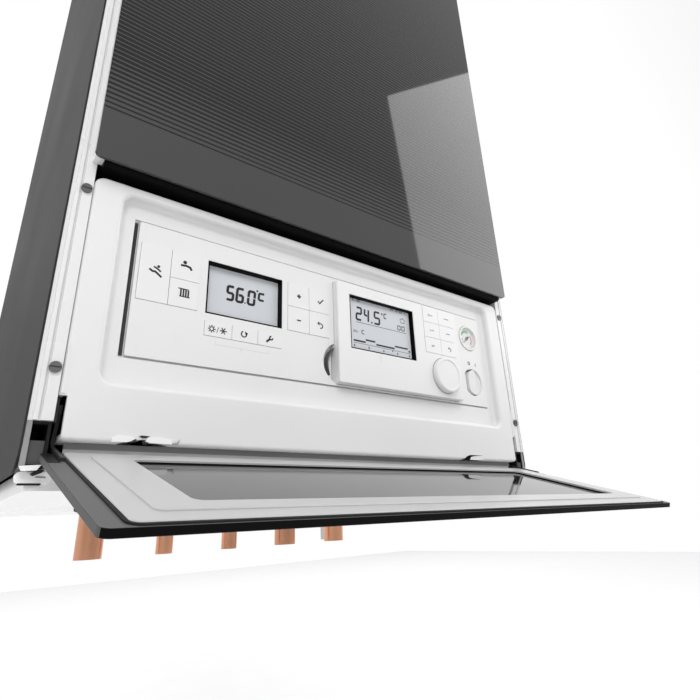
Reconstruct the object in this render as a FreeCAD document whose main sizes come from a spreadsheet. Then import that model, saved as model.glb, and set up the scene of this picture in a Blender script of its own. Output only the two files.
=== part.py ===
import FreeCAD, Part
import os
import re
import Sketcher

# Wall-hung gas boiler with a glass front and a glass flap that folds down off its control panel.
# Lengths are millimetres, angles are degrees. X runs across the front, Y back to the wall, Z up.
# Sizes are drawn from the wall (depths) and from the lower edge of the side panels (heights).
# Each piece is then placed so that the origin lies on the wall, midway between the two wall bolts.
SIZES = [
    ("height", 840, "height of the side panels"),
    ("border_depth", 343, "wall to front of rails and fascia border"),
    ("sheet", 1.2, "side panel sheet"),
    ("side_set", 2, "side panels behind the rail fronts"),
    ("side_corner", 14, "lower front corner radius of the side panels"),
    ("head_room", 4, "top edge of the side panels above the rails"),
    ("top_sheet", 2, "top panel sheet"),
    ("glass_thick", 3.2, "glass thickness"),
    ("glass_lap", 4, "glass in front of the rails"),
    ("glass_gap", 2.5, "gap between upper glass and closed flap"),
    ("cover_thick", 8.8, "front cover behind the glass"),
    ("cover_gap", 6.5, "glass above the fascia"),
    ("cover_wall", 6, "rim of the front cover"),
    ("cover_inset", 1, "front cover inside the glass edge"),
    ("cover_seat", 3, "front cover rim inside the rails"),
    ("cover_skin", 2, "front of the front cover"),
    ("hang_drop", 65, "wall bolts below the top"),
    ("bolt_spacing", 260, "spacing of the wall bolts"),
    ("bolt_hole_r", 5, "wall bolt hole radius"),
    ("bracket_half", 150, "half width of the wall bracket"),
    ("bracket_sheet", 2.5, "wall bracket sheet"),
    ("bracket_drop", 20, "wall bracket leg below the bolts"),
    ("hook_rise", 25, "hanging edge above the bolts"),
    ("hook_tall", 14, "upturned lip of the bracket"),
    ("hook_clear", 0.4, "play of the back panel in the hook"),
    ("window_play", 10, "back panel window wider than the bracket"),
    ("back_sheet", 1.5, "back panel and tray sheet"),
    ("back_flange", 25, "folded edge of the back panel"),
    ("rail_wide", 11.8, "rail width"),
    ("rail_deep", 25, "rail depth"),
    ("rail_lift", 10, "lower end of the rails above the fascia"),
    ("groove_at", 5.9, "rail groove from the rail's inner side"),
    ("groove_wide", 1.5, "rail groove width"),
    ("groove_deep", 1.6, "rail groove depth"),
    ("rail_ledge", 2.2, "stepped outer edge of the rail"),
    ("screw_at", 3.6, "rail screws from the rail's inner side"),
    ("screw_rise", 29, "lower rail screws above the rail ends"),
    ("screw_drop", 13, "upper rail screws below the fascia top"),
    ("screw_head_r", 3.2, "rail screw head radius"),
    ("screw_head", 1.4, "rail screw head height"),
    ("screw_slot", 0.9, "screw slot width and depth"),
    ("trim_play", 2.5, "trim under the front cover clear of the rails"),
    ("trim_tall", 4, "trim thickness"),
    ("trim_deep", 25, "trim depth"),
    ("trim_edge", 2, "trim chamfer"),
    ("trim_set", 0.4, "trim behind the glass"),
    ("fascia_gap", 0.5, "gap between fascia and rails"),
    ("fascia_bottom", 16, "lower edge of the fascia"),
    ("fascia_thick", 18, "fascia depth"),
    ("fascia_wall", 2.5, "fascia wall"),
    ("fascia_corner", 7, "corner radius of the fascia"),
    ("fascia_edge", 2.2, "edge rounding of the fascia"),
    ("chin", 34, "fascia below the dish"),
    ("brow", 7, "fascia above the dish"),
    ("border_side", 19.5, "fascia beside the dish"),
    ("dish_corner", 7.5, "corner radius of the dish"),
    ("dish_deep", 7.5, "depth of the dish"),
    ("dish_rim", 3, "rounding of the dish rim"),
    ("dish_round", 2.2, "rounding of the dish floor"),
    ("notch_wide", 4.2, "width of the hinge slots"),
    ("notch_play", 0.5, "hinge slots above the hinge plates"),
    ("clip_left", 158, "left clip notch from the centre"),
    ("clip_right", 138, "right clip notch from the centre"),
    ("clip_r", 44, "radius of the clip notches"),
    ("clip_tall", 2.6, "height of the clip notches"),
    ("dish_side", 10.5, "dish floor beside the insert"),
    ("insert_foot", 19.5, "dish floor below the insert"),
    ("insert_head", 14, "dish floor above the insert"),
    ("insert_thick", 3.5, "insert plate in front of its seat"),
    ("insert_gap", 1.3, "gap round the insert plate"),
    ("insert_left", 2, "wider gap at the insert's left end"),
    ("insert_lip", 4, "hidden lip round the insert plate"),
    ("insert_corner", 1.2, "corner radius of the insert plate"),
    ("lip_thick", 2, "lip thickness"),
    ("mode_margin", 4.2, "insert left of the mode keys"),
    ("mode_wide", 41.3, "width of the mode keys"),
    ("screen_margin", 5.7, "between mode keys and boiler display"),
    ("screen_wide", 61.4, "boiler display opening width"),
    ("screen_tall", 41, "boiler display opening height"),
    ("screen_head", 15, "insert above the boiler display"),
    ("screen_sunk", 4.6, "display face behind the insert face"),
    ("screen_thick", 1, "display thickness"),
    ("screen_wall", 0.8, "wall of the display frames"),
    ("screen_play", 0.3, "play of the display frames"),
    ("screen_flange", 1.6, "display frame flange behind the insert"),
    ("row_gap", 5.4, "between boiler display and key row"),
    ("row_tall", 11, "key row height"),
    ("pad_margin", 4.9, "between boiler display and key pad"),
    ("pad_wide", 39.8, "width of the four key pad"),
    ("key_gap", 0.36, "gap round every key"),
    ("key_proud", 0.4, "keys stand in front of the insert"),
    ("key_lip", 1.3, "overlap of the key lips behind the insert"),
    ("key_lip_thick", 1.5, "key lip thickness"),
    ("key_lip_inset", 1.6, "key lip shorter than its key at each end"),
    ("module_margin", 4.8, "between key pad and room control module"),
    ("module_foot", 1.5, "insert below the module"),
    ("module_head", 3.6, "insert above the module"),
    ("module_wide", 148.7, "width of the room control module"),
    ("module_tall", 89.4, "height of the room control module"),
    ("module_thick", 25, "thickness of the room control module"),
    ("module_corner", 1.8, "corner radius of the module"),
    ("module_edge", 0.6, "edge bevel of the module"),
    ("parting_set", 2.6, "parting line behind the module's face"),
    ("parting_wide", 0.7, "parting line width"),
    ("parting_deep", 0.8, "parting line depth"),
    ("module_gap", 0.4, "gap round the module"),
    ("dock_wall", 1.3, "wall of the module dock"),
    ("dock_floor", 3, "floor of the module dock"),
    ("lcd_left", 12.5, "module display from the module's left"),
    ("lcd_head", 10.4, "module above its display"),
    ("lcd_margin", 13.3, "between module display and module keys"),
    ("lcd_tall", 48.7, "module display height"),
    ("lcd_sunk", 5.2, "depth of the module display pocket"),
    ("soft_margin", 4.9, "module beside its keys"),
    ("soft_head", 1.8, "module above its keys"),
    ("soft_wide", 42.4, "width of the module keys"),
    ("soft_tall", 46.2, "height of the module keys"),
    ("soft_deep", 4, "pocket of the module keys"),
    ("soft_thick", 2.9, "module key thickness"),
    ("knob_side", 2.3, "knob right of the middle of the keys"),
    ("knob_lift", 0.5, "knob above the middle of its field"),
    ("knob_r", 16.8, "knob radius"),
    ("knob_tall", 5.4, "knob height"),
    ("knob_edge", 1.2, "knob edge rounding"),
    ("knob_hollow", 0.8, "hollow of the knob face"),
    ("knob_stem_r", 3, "knob stem radius"),
    ("knob_stem", 10, "knob stem length"),
    ("turn_clear", 0.05, "running clearance of pins and stems"),
    ("finger_r", 17.5, "radius of the finger notch"),
    ("finger_rise", 17, "finger notch above the module's foot"),
    ("finger_reach", 11.5, "finger notch beyond the module"),
    ("finger_deep", 4.8, "depth of the finger notch"),
    ("gauge_margin", 24.7, "module to pressure gauge centre"),
    ("gauge_edge", 17.5, "pressure gauge centre to the insert's end"),
    ("gauge_head", 23.7, "pressure gauge centre below the insert's top"),
    ("gauge_r", 13.4, "gauge case radius"),
    ("gauge_ring", 1.8, "gauge bezel width"),
    ("gauge_clear", 0.4, "gap round the gauge"),
    ("gauge_flange", 2.2, "gauge flange behind the insert"),
    ("gauge_body", 20, "gauge body behind the insert face"),
    ("gauge_proud", 1.2, "gauge bezel in front of the insert"),
    ("gauge_floor", 2.2, "gauge dial behind the insert face"),
    ("gauge_ledge", 0.8, "seat of the gauge lens"),
    ("spindle_r", 0.8, "needle spindle radius"),
    ("spindle_bore", 10, "needle spindle bore end"),
    ("needle_long", 8.6, "needle length"),
    ("needle_tail", 3.4, "needle tail"),
    ("needle_rest", 135, "needle at zero, turned back from upright"),
    ("rocker_foot", 23.8, "power rocker above the insert's bottom"),
    ("rocker_dish_r", 14, "radius of the rocker recess"),
    ("rocker_dish", 2, "depth of the rocker recess"),
    ("rocker_half", 7.2, "half width of the rocker"),
    ("rocker_long", 12.6, "half length of the rocker"),
    ("rocker_proud", 0.9, "rocker crest in front of the insert"),
    ("rocker_set", 4.5, "rocker pivot behind the insert"),
    ("rocker_back", 1.6, "rocker behind its pivot"),
    ("rocker_slope", 2.2, "fall of the rocker faces"),
    ("rocker_flat", 1.2, "half width of the rocker crest"),
    ("rocker_pin_r", 1.2, "rocker pin radius"),
    ("rocker_tilt", 7, "rocker tilt to each side"),
    ("rocker_swing", 1.8, "room for the rocker to swing"),
    ("rocker_end", 0.7, "gap at the rocker ends"),
    ("boss_wall", 3, "wall of the rocker boss"),
    ("boss_deep", 10, "depth of the rocker boss"),
    ("box_play", 0.5, "control box inside the fascia sides"),
    ("box_foot", 7.5, "control box below the insert"),
    ("box_head", 2, "control box below the fascia top"),
    ("box_deep", 55, "control box depth"),
    ("box_wall", 2.5, "control box wall"),
    ("pivot_set", 11, "flap pivot behind the border"),
    ("pivot_rise", 16.7, "flap pivot above the fascia bottom"),
    ("open_angle", 106.5, "flap turned open from closed"),
    ("flap_set", 18.3, "closed flap's lower edge above its pivot"),
    ("rim_gap", 6.7, "closed flap in front of the border"),
    ("frame_side", 5.5, "flap frame inside the fascia sides"),
    ("frame_inset", 1.5, "flap frame inside the glass at the hinge edge"),
    ("frame_front", 2.5, "flap frame inside the glass at the free edge"),
    ("frame_band", 11, "lower outer band of the flap frame"),
    ("band_drop", 0.8, "step of the flap frame"),
    ("tray_side", 30, "flap frame border at the sides"),
    ("tray_rear", 18.5, "flap frame border at the hinge edge"),
    ("tray_front", 23.5, "flap frame border at the free edge"),
    ("tray_corner", 5, "flap frame opening corner radius"),
    ("tray_bevel", 0.35, "flap frame edge bevel"),
    ("flap_corner", 4, "flap corner radius"),
    ("arm_thick", 2, "flap arm thickness"),
    ("arm_wide", 9, "flap arm width at the pivot"),
    ("arm_leg", 2, "flap arm width along the frame"),
    ("arm_side", 3.7, "flap arms inside the fascia sides"),
    ("arm_reach", 40, "flap arm above the pivot when closed"),
    ("arm_round", 3, "flap arm corner radius"),
    ("hinge_pin_r", 2.5, "hinge pin radius"),
    ("hinge_gap", 0.3, "gap beside the flap arm"),
    ("hinge_front", 8, "hinge plate in front of the pivot"),
    ("hinge_rear", 10, "hinge plate behind the pivot"),
    ("hinge_tall", 7, "half height of the hinge plate"),
    ("tray_play", 4.8, "bottom tray inside the side panels"),
    ("tray_set", 9, "bottom tray behind the border"),
    ("tray_rear_gap", 4, "bottom tray in front of the wall"),
    ("tray_low", -9, "lower side of the bottom tray"),
    ("tray_high", 2, "upper edge of the bottom tray"),
    ("guard_set", 3, "corner guards behind the border"),
    ("guard_deep", 28, "corner guard depth"),
    ("guard_wall", 1.6, "corner guard wall"),
    ("flue_side", 80.8, "flue centre from the right side panel"),
    ("flue_clear", 18, "flue duct behind the return pipe"),
    ("flue_r", 38, "flue duct radius"),
    ("flue_wall", 2, "flue duct wall"),
    ("flue_rise", 60, "flue branch above the heat exchanger bottom"),
    ("flue_sump", 40, "flue duct below its branch"),
    ("branch_r", 28, "flue branch radius"),
    ("air_r", 62.5, "air pipe radius of the flue adapter"),
    ("collar_wall", 2, "flue adapter wall"),
    ("collar_lap", 11.5, "flue adapter flange beyond the air pipe"),
    ("collar_flange", 3, "flue adapter flange thickness"),
    ("collar_tall", 38, "flue adapter height"),
    ("collar_web", 12, "height of the flue adapter web"),
    ("exchanger_gap", 10, "between heat exchanger and flue duct"),
    ("exchanger_tall", 310, "height of the heat exchanger"),
    ("exchanger_drop", 196, "heat exchanger below the top panel"),
    ("exchanger_back", 60, "wall to back of the heat exchanger"),
    ("exchanger_wall", 18, "heat exchanger wall"),
    ("front_room", 53, "heat exchanger behind the border"),
    ("fin_tall", 7, "cooling groove height"),
    ("fin_deep", 12, "cooling groove depth"),
    ("fin_edge", 18, "first cooling groove"),
    ("fin_pitch", 20, "cooling groove pitch"),
    ("fin_count", 14, "number of cooling grooves"),
    ("foot_size", 30, "heat exchanger foot"),
    ("foot_edge", 10, "heat exchanger foot from the side"),
    ("fin_side", 12, "cooling grooves from the sides"),
    ("hood_tall", 28, "burner hood height"),
    ("hood_flange", 8, "burner hood flange thickness"),
    ("hood_edge", 14, "burner hood flange width"),
    ("fan_shift", 15, "fan right of the heat exchanger's middle"),
    ("fan_set", 5, "fan behind the heat exchanger's middle"),
    ("fan_r", 78, "fan housing radius"),
    ("fan_tall", 52, "fan housing height"),
    ("fan_wall", 4, "fan housing wall"),
    ("fan_shaft_r", 4, "fan shaft radius"),
    ("fan_shaft", 18, "fan shaft in the motor"),
    ("motor_r", 42, "fan motor radius"),
    ("motor_tall", 45, "fan motor height"),
    ("wheel_gap", 4, "impeller below the housing's top"),
    ("wheel_play", 10, "impeller inside the housing"),
    ("wheel_plate", 3, "impeller plate thickness"),
    ("blade_long", 21, "impeller blade length"),
    ("blade_lean", 7, "impeller blade lean"),
    ("blade_thick", 2, "impeller blade thickness"),
    ("blade_count", 18, "number of impeller blades"),
    ("inlet_r", 20, "fan inlet radius"),
    ("inlet_long", 14, "fan inlet beyond the housing"),
    ("mixer_long", 18, "mixer between gas valve and fan inlet"),
    ("mixer_wall", 3, "mixer wider than the fan inlet"),
    ("valve_wide", 70, "gas valve width"),
    ("valve_half", 32, "half height of the gas valve"),
    ("valve_deep", 35, "half depth of the gas valve"),
    ("coil_r", 18, "gas valve coil radius"),
    ("coil_tall", 24, "gas valve coil height"),
    ("coil_at", 30, "gas valve coil from its left side"),
    ("vessel_side", 10.8, "expansion vessel from the left side panel"),
    ("vessel_wide", 90, "expansion vessel width"),
    ("vessel_gap", 8, "between expansion vessel and heat exchanger"),
    ("vessel_set", 48.5, "expansion vessel behind the heat exchanger front"),
    ("vessel_tall", 360, "expansion vessel height"),
    ("vessel_rise", 10, "expansion vessel above the heat exchanger"),
    ("vessel_round", 28, "expansion vessel corner radius"),
    ("vessel_bevel", 14, "expansion vessel front bevel"),
    ("vessel_wall", 2, "expansion vessel wall"),
    ("block_half", 170, "half width of the hydraulic block"),
    ("block_set", 25, "hydraulic block behind the control box"),
    ("block_back", 85, "wall to back of the hydraulic block"),
    ("block_bottom", 15, "lower side of the hydraulic block"),
    ("block_top", 40, "upper side of the hydraulic block"),
    ("stub_depth", 130, "wall to pipe stubs"),
    ("stub_pitch", 65, "pitch of the pipe stubs"),
    ("stub_r", 11, "radius of gas, flow and return stubs"),
    ("water_r", 7.5, "radius of the tap water stubs"),
    ("stub_low", -50, "lower end of the pipe stubs"),
    ("stub_clear", 3, "clearance of the tray holes"),
    ("pipe_r", 9, "internal pipe radius"),
    ("gas_drop", 55, "gas pipe turns forward below the expansion vessel"),
    ("gas_clear", 43.5, "gas pipe in front of the expansion vessel"),
    ("flow_x", -60, "flow pipe"),
    ("flow_set", 70, "flow pipe behind the control box"),
    ("pump_x", 145, "pump centre"),
    ("pump_set", 65, "pump behind the control box"),
    ("pump_body_r", 20, "pump body radius"),
    ("pump_top", 150, "upper end of the pump body"),
    ("volute_r", 46, "pump volute radius"),
    ("volute_tall", 34, "pump volute length"),
    ("pump_motor_r", 38, "pump motor radius"),
    ("pump_motor", 40, "pump motor length"),
    ("return_rise", 42, "return pipe above the heat exchanger's bottom"),
    ("plate_left", -20, "left of the plate heat exchanger"),
    ("plate_wide", 76, "width of the plate heat exchanger"),
    ("plate_back", 110, "wall to back of the plate heat exchanger"),
    ("plate_set", 40, "plate heat exchanger behind the control box"),
    ("plate_top", 190, "top of the plate heat exchanger"),
    ("plate_pitch", 9, "rib pitch of the plate heat exchanger"),
    ("plate_rib", 3, "rib width of the plate heat exchanger"),
    ("plate_proud", 1.5, "rib height of the plate heat exchanger"),
    ("plate_wall", 3, "plate heat exchanger wall"),
    ("plate_count", 7, "ribs of the plate heat exchanger"),
    ("trap_side", 40.8, "condensate trap from the right side panel"),
    ("trap_depth", 56, "wall to condensate trap"),
    ("trap_r", 26, "condensate trap radius"),
    ("trap_top", 165, "top of the condensate trap"),
    ("trap_out_r", 12, "condensate outlet radius"),
]

# Relations: places and spans that follow from the sizes above.
# Across, the insert is as wide as the keys, display, module and gauge in it, and the casing follows.
RELATIONS = {
    "insert_half": "(mode_margin + mode_wide + screen_margin + screen_wide + pad_margin + pad_wide"
                   " + module_margin + module_wide + gauge_margin + gauge_edge) / 2",
    "mode_left": "mode_margin - insert_half",
    "mode_right": "mode_left + mode_wide",
    "screen_left": "mode_right + screen_margin",
    "screen_right": "screen_left + screen_wide",
    "pad_left": "screen_right + pad_margin",
    "pad_right": "pad_left + pad_wide",
    "module_left": "pad_right + module_margin",
    "module_right": "module_left + module_wide",
    "gauge_x": "insert_half - gauge_edge",
    "rocker_x": "insert_half - gauge_edge",
    "dish_half": "insert_half + dish_side",
    "fascia_half": "dish_half + border_side",
    "rail_inner": "fascia_half + fascia_gap",
    "side_inner": "rail_inner + rail_wide",
    "side_outer": "side_inner + sheet",
    "glass_half": "rail_inner + glass_lap",
    "tray_half": "side_inner - tray_play",
    "rail_groove": "rail_inner + groove_at",
    "screw_x": "rail_inner + screw_at",
    "trim_half": "rail_inner - trim_play",
    "box_half": "fascia_half - box_play",
    "notch_inner": "fascia_half - notch_wide",
    "frame_half": "fascia_half - frame_side",
    "arm_in": "fascia_half - arm_side",
    "flue_x": "side_inner - flue_side",
    "trap_x": "side_inner - trap_side",
    "exchanger_right": "flue_x - flue_r - exchanger_gap",
    "vessel_left": "vessel_side - side_inner",
    "vessel_right": "vessel_left + vessel_wide",
    "exchanger_left": "vessel_right + vessel_gap",
    "plate_right": "plate_left + plate_wide",
    # Depths from the wall
    "side_depth": "border_depth - side_set",
    "fascia_back": "border_depth - fascia_thick",
    "rail_back": "border_depth - rail_deep",
    "seat": "border_depth - dish_deep - fascia_wall",
    "insert_back": "seat - lip_thick",
    "insert_face": "seat + insert_thick",
    "module_face": "border_depth",
    "module_back": "module_face - module_thick",
    "glass_back": "border_depth + cover_thick",
    "glass_depth": "glass_back + glass_thick",
    "rim_depth": "border_depth + rim_gap",
    "pivot_depth": "border_depth - pivot_set",
    "guard_front": "border_depth - guard_set",
    "guard_back": "guard_front - guard_deep",
    "tray_front_depth": "border_depth - tray_set",
    "rocker_crest": "insert_face + rocker_proud",
    "rocker_pivot": "insert_back - rocker_set",
    "boss_back": "insert_back - boss_deep",
    "box_back": "fascia_back - box_deep",
    "exchanger_front": "border_depth - front_room",
    "vessel_front": "exchanger_front - vessel_set",
    "gas_front": "vessel_front + gas_clear",
    "block_front": "box_back - block_set",
    "pump_depth": "box_back - pump_set",
    "plate_front": "box_back - plate_set",
    "flue_depth": "pump_depth - pipe_r - flue_clear - flue_r",
    "flow_depth": "box_back - flow_set",
    "fan_depth": "(exchanger_front + exchanger_back) / 2 - fan_set",
    # Heights above the lower edge of the side panels
    "casing_top": "height - head_room",
    "hang_height": "height - hang_drop",
    "hook_height": "hang_height + hook_rise",
    "dish_bottom": "fascia_bottom + chin",
    "insert_bottom": "dish_bottom + insert_foot",
    "module_bottom": "insert_bottom + module_foot",
    "module_top": "module_bottom + module_tall",
    "insert_top": "module_top + module_head",
    "dish_top": "insert_top + insert_head",
    "fascia_top": "dish_top + brow",
    "glass_bottom": "fascia_top + cover_gap",
    "cover_bottom": "glass_bottom + cover_inset",
    "rail_bottom": "fascia_bottom + rail_lift",
    "screw_low": "rail_bottom + screw_rise",
    "screw_high": "fascia_top - screw_drop",
    "screen_top": "insert_top - screen_head",
    "screen_bottom": "screen_top - screen_tall",
    "row_top": "screen_bottom - row_gap",
    "row_bottom": "row_top - row_tall",
    "finger_z": "module_bottom + finger_rise",
    "gauge_z": "insert_top - gauge_head",
    "rocker_z": "insert_bottom + rocker_foot",
    "box_bottom": "insert_bottom - box_foot",
    "box_top": "fascia_top - box_head",
    "pivot_height": "fascia_bottom + pivot_rise",
    "notch_top": "pivot_height + hinge_tall + notch_play",
    "flap_top": "flap_set + flap_long",
    "flap_long": "glass_bottom - glass_gap - pivot_height - flap_set",
    "exchanger_top": "casing_top - exchanger_drop",
    "exchanger_bottom": "exchanger_top - exchanger_tall",
    "fan_bottom": "exchanger_top + hood_tall",
    "fan_middle": "fan_bottom + fan_tall / 2",
    "vessel_top": "exchanger_top + vessel_rise",
    "vessel_bottom": "vessel_top - vessel_tall",
    "gas_rise": "vessel_bottom - gas_drop",
    "return_height": "exchanger_bottom + return_rise",
    # Inside the module, from its lower left corner
    "lcd_bottom": "module_tall - lcd_head - lcd_tall",
    "soft_right": "module_wide - soft_margin",
    "soft_left": "soft_right - soft_wide",
    "lcd_wide": "soft_left - lcd_margin - lcd_left",
    "soft_top": "module_tall - soft_head",
    "soft_bottom": "soft_top - soft_tall",
    "knob_x": "(soft_left + soft_right) / 2 + knob_side",
    "knob_z": "soft_bottom / 2 + knob_lift",
    # Fan and gas valve
    "fan_x": "(exchanger_left + exchanger_right) / 2 + fan_shift",
    "wheel_r": "fan_r - fan_wall - wheel_play",
    "wheel_tall": "fan_tall - 2 * fan_wall - 2 * wheel_gap",
    "inlet_end": "fan_x - fan_r - inlet_long",
    "valve_right": "inlet_end - mixer_long",
    "valve_left": "valve_right - valve_wide",
}

doc = FreeCAD.newDocument("gas_boiler")
sheet = doc.addObject("Spreadsheet::Sheet", "Sizes")
for row, (alias, size, note) in enumerate(SIZES, start=1):
    sheet.set("A%d" % row, note)
    sheet.set("B%d" % row, str(size))
    sheet.setAlias("B%d" % row, alias)
doc.recompute()

ALIASES = set(alias for alias, size, note in SIZES)
NODES = []


def bound(text):
    """Turn bare names into references to the sheet, through the relations."""
    def swap(match):
        word = match.group(0)
        if word in RELATIONS:
            return "(%s)" % bound(RELATIONS[word])
        return "Sizes." + word if word in ALIASES else word
    return re.sub(r"[a-z_][a-z_0-9]*", swap, str(text))


def number(text):
    """Value of an expression in sheet sizes."""
    return float(sheet.evalExpression(bound(text)))


def drive(thing, prop, text):
    thing.setExpression(prop, bound(text))


def place(thing, x="0", y="0", z="0"):
    """Set a piece by its local origin, in casing depths and heights."""
    drive(thing, "Placement.Base.x", x)
    drive(thing, "Placement.Base.y", y)
    drive(thing, "Placement.Base.z", "%s - hang_height" % z)


def node(thing, label, x="0", y="0", z="0"):
    """Register a finished sub-part under its own name."""
    thing.Label = label
    place(thing, x, y, z)
    NODES.append(thing)
    return thing


# Part primitives and booleans

def box(x0, x1, near, far, z0, z1):
    """Block between two widths, two depths from the wall and two heights."""
    solid = doc.addObject("Part::Box", "Block")
    drive(solid, "Length", "(%s) - (%s)" % (x1, x0))
    drive(solid, "Width", "(%s) - (%s)" % (far, near))
    drive(solid, "Height", "(%s) - (%s)" % (z1, z0))
    drive(solid, "Placement.Base.x", x0)
    drive(solid, "Placement.Base.y", "-(%s)" % far)
    drive(solid, "Placement.Base.z", z0)
    return solid


def box_node(label, x0, x1, near, far, z0, z1):
    """Plain block that is a sub-part by itself."""
    return node(box(x0, x1, near, far, z0, z1), label, "(%s)" % x0, "-(%s)" % far, "(%s)" % z0)


TURNS = {
    "x": FreeCAD.Rotation(FreeCAD.Vector(0, 1, 0), 90),
    "y": FreeCAD.Rotation(FreeCAD.Vector(1, 0, 0), 90),
    "z": FreeCAD.Rotation(),
}


def rod(axis, radius, length, x, depth, z):
    """Cylinder from a point, running along +X, towards the front, or up."""
    solid = doc.addObject("Part::Cylinder", "Rod")
    drive(solid, "Radius", radius)
    drive(solid, "Height", length)
    solid.Placement.Rotation = TURNS[axis]
    drive(solid, "Placement.Base.x", x)
    drive(solid, "Placement.Base.y", "-(%s)" % depth)
    drive(solid, "Placement.Base.z", z)
    return solid


def join(shapes):
    solid = doc.addObject("Part::MultiFuse", "Join")
    solid.Shapes = shapes
    solid.Refine = True
    return solid


def less(base, tools):
    solid = doc.addObject("Part::Cut", "Less")
    solid.Base = base
    solid.Tool = tools[0] if len(tools) == 1 else join(tools)
    return solid


def group(shapes):
    solid = doc.addObject("Part::Compound", "Group")
    solid.Links = shapes
    return solid


# Bodies, sketches and features

def body(name):
    return doc.addObject("PartDesign::Body", name)


def sketch(owner, plane, offset="0"):
    """Sketch on an origin plane of its body; on XZ the offset is a depth from the wall."""
    drawn = owner.newObject("Sketcher::SketchObject", "Sketch")
    for feature in owner.Origin.OriginFeatures:
        if feature.Role == plane:
            drawn.AttachmentSupport = [(feature, "")]
    drawn.MapMode = "FlatFace"
    drive(drawn, "AttachmentOffset.Base.z", offset)
    return drawn


def fix_point(drawn, index, point, place_x, place_y):
    """Tie a sketch point to the sketch origin."""
    for kind, text in (("DistanceX", place_x), ("DistanceY", place_y)):
        rule = Sketcher.Constraint(kind, -1, 1, index, point, number(text))
        drive(drawn, "Constraints[%d]" % drawn.addConstraint(rule), text)


def polygon(drawn, points, closed=True):
    """Straight-sided outline or path through points given as expressions."""
    spots = [FreeCAD.Vector(number(a), number(b), 0) for a, b in points]
    count = len(spots) if closed else len(spots) - 1
    first = drawn.GeometryCount
    for i in range(count):
        drawn.addGeometry(Part.LineSegment(spots[i], spots[(i + 1) % len(spots)]), False)
    for i in range(count if closed else count - 1):
        following = first + (i + 1) % count
        drawn.addConstraint(Sketcher.Constraint("Coincident", first + i, 2, following, 1))
    for i in range(count):
        fix_point(drawn, first + i, 1, points[i][0], points[i][1])
    if not closed:
        fix_point(drawn, first + count - 1, 2, points[-1][0], points[-1][1])


def rectangle(drawn, x0, x1, y0, y1):
    polygon(drawn, [(x0, y0), (x1, y0), (x1, y1), (x0, y1)])


def rounded(drawn, x0, x1, y0, y1, radius):
    """Rectangle with four equal round corners."""
    left, right, low, high, r = [number(t) for t in (x0, x1, y0, y1, radius)]
    first = drawn.GeometryCount
    sides = [
        ((left + r, low), (right - r, low)),
        ((right, low + r), (right, high - r)),
        ((right - r, high), (left + r, high)),
        ((left, high - r), (left, low + r)),
    ]
    for start, end in sides:
        line = Part.LineSegment(FreeCAD.Vector(start[0], start[1], 0), FreeCAD.Vector(end[0], end[1], 0))
        drawn.addGeometry(line, False)
    centres = [(right - r, low + r), (right - r, high - r), (left + r, high - r), (left + r, low + r)]
    for turn, centre in enumerate(centres):
        circle = Part.Circle(FreeCAD.Vector(centre[0], centre[1], 0), FreeCAD.Vector(0, 0, 1), r)
        start = (turn - 1) * 1.5707963267948966
        drawn.addGeometry(Part.ArcOfCircle(circle, start, start + 1.5707963267948966), False)
    for i in range(4):
        arc = first + 4 + i
        drawn.addConstraint(Sketcher.Constraint("Tangent", first + i, 2, arc, 1))
        drawn.addConstraint(Sketcher.Constraint("Tangent", arc, 2, first + (i + 1) % 4, 1))
        straight = "Horizontal" if i % 2 == 0 else "Vertical"
        drawn.addConstraint(Sketcher.Constraint(straight, first + i))
    for i in range(1, 4):
        drawn.addConstraint(Sketcher.Constraint("Equal", first + 4, first + 4 + i))
    rules = [
        (Sketcher.Constraint("Radius", first + 4, r), radius),
        (Sketcher.Constraint("DistanceY", -1, 1, first, 1, low), y0),
        (Sketcher.Constraint("DistanceX", -1, 1, first + 1, 1, right), x1),
        (Sketcher.Constraint("DistanceY", -1, 1, first + 2, 1, high), y1),
        (Sketcher.Constraint("DistanceX", -1, 1, first + 3, 1, left), x0),
    ]
    for rule, text in rules:
        drive(drawn, "Constraints[%d]" % drawn.addConstraint(rule), text)


def ring(drawn, x, y, radius):
    """Circle with its centre and radius tied to the sheet."""
    centre = FreeCAD.Vector(number(x), number(y), 0)
    index = drawn.addGeometry(Part.Circle(centre, FreeCAD.Vector(0, 0, 1), number(radius)), False)
    rule = Sketcher.Constraint("Radius", index, number(radius))
    drive(drawn, "Constraints[%d]" % drawn.addConstraint(rule), radius)
    fix_point(drawn, index, 3, x, y)


def pad(owner, drawn, length, back=False):
    """Raise a sketch along its normal; on XZ that is towards the front."""
    feature = owner.newObject("PartDesign::Pad", "Pad")
    feature.Profile = drawn
    feature.Reversed = back
    drive(feature, "Length", length)
    drawn.Visibility = False
    doc.recompute()
    return feature


def pocket(owner, drawn, length, forward=False):
    """Sink a sketch against its normal; on XZ that is towards the wall."""
    feature = owner.newObject("PartDesign::Pocket", "Pocket")
    feature.Profile = drawn
    feature.Reversed = forward
    drive(feature, "Length", length)
    doc.recompute()
    return feature


def revolve(owner, drawn, axis):
    feature = owner.newObject("PartDesign::Revolution", "Revolution")
    feature.Profile = drawn
    feature.ReferenceAxis = (drawn, [axis])
    feature.Angle = 360
    doc.recompute()
    return feature


def edge_names(feature, wanted):
    """Names of the edges of a feature that a test picks out."""
    edges = enumerate(feature.Shape.Edges, start=1)
    return ["Edge%d" % index for index, edge in edges if wanted(edge)]


def soften(owner, feature, radius, wanted):
    """Round the picked edges of a feature."""
    rounding = owner.newObject("PartDesign::Fillet", "Fillet")
    rounding.Base = (feature, edge_names(feature, wanted))
    drive(rounding, "Radius", radius)
    doc.recompute()
    return rounding


def bevel(owner, feature, size, wanted):
    """Bevel the picked edges of a feature."""
    flat = owner.newObject("PartDesign::Chamfer", "Chamfer")
    flat.Base = (feature, edge_names(feature, wanted))
    drive(flat, "Size", size)
    doc.recompute()
    return flat


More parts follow.
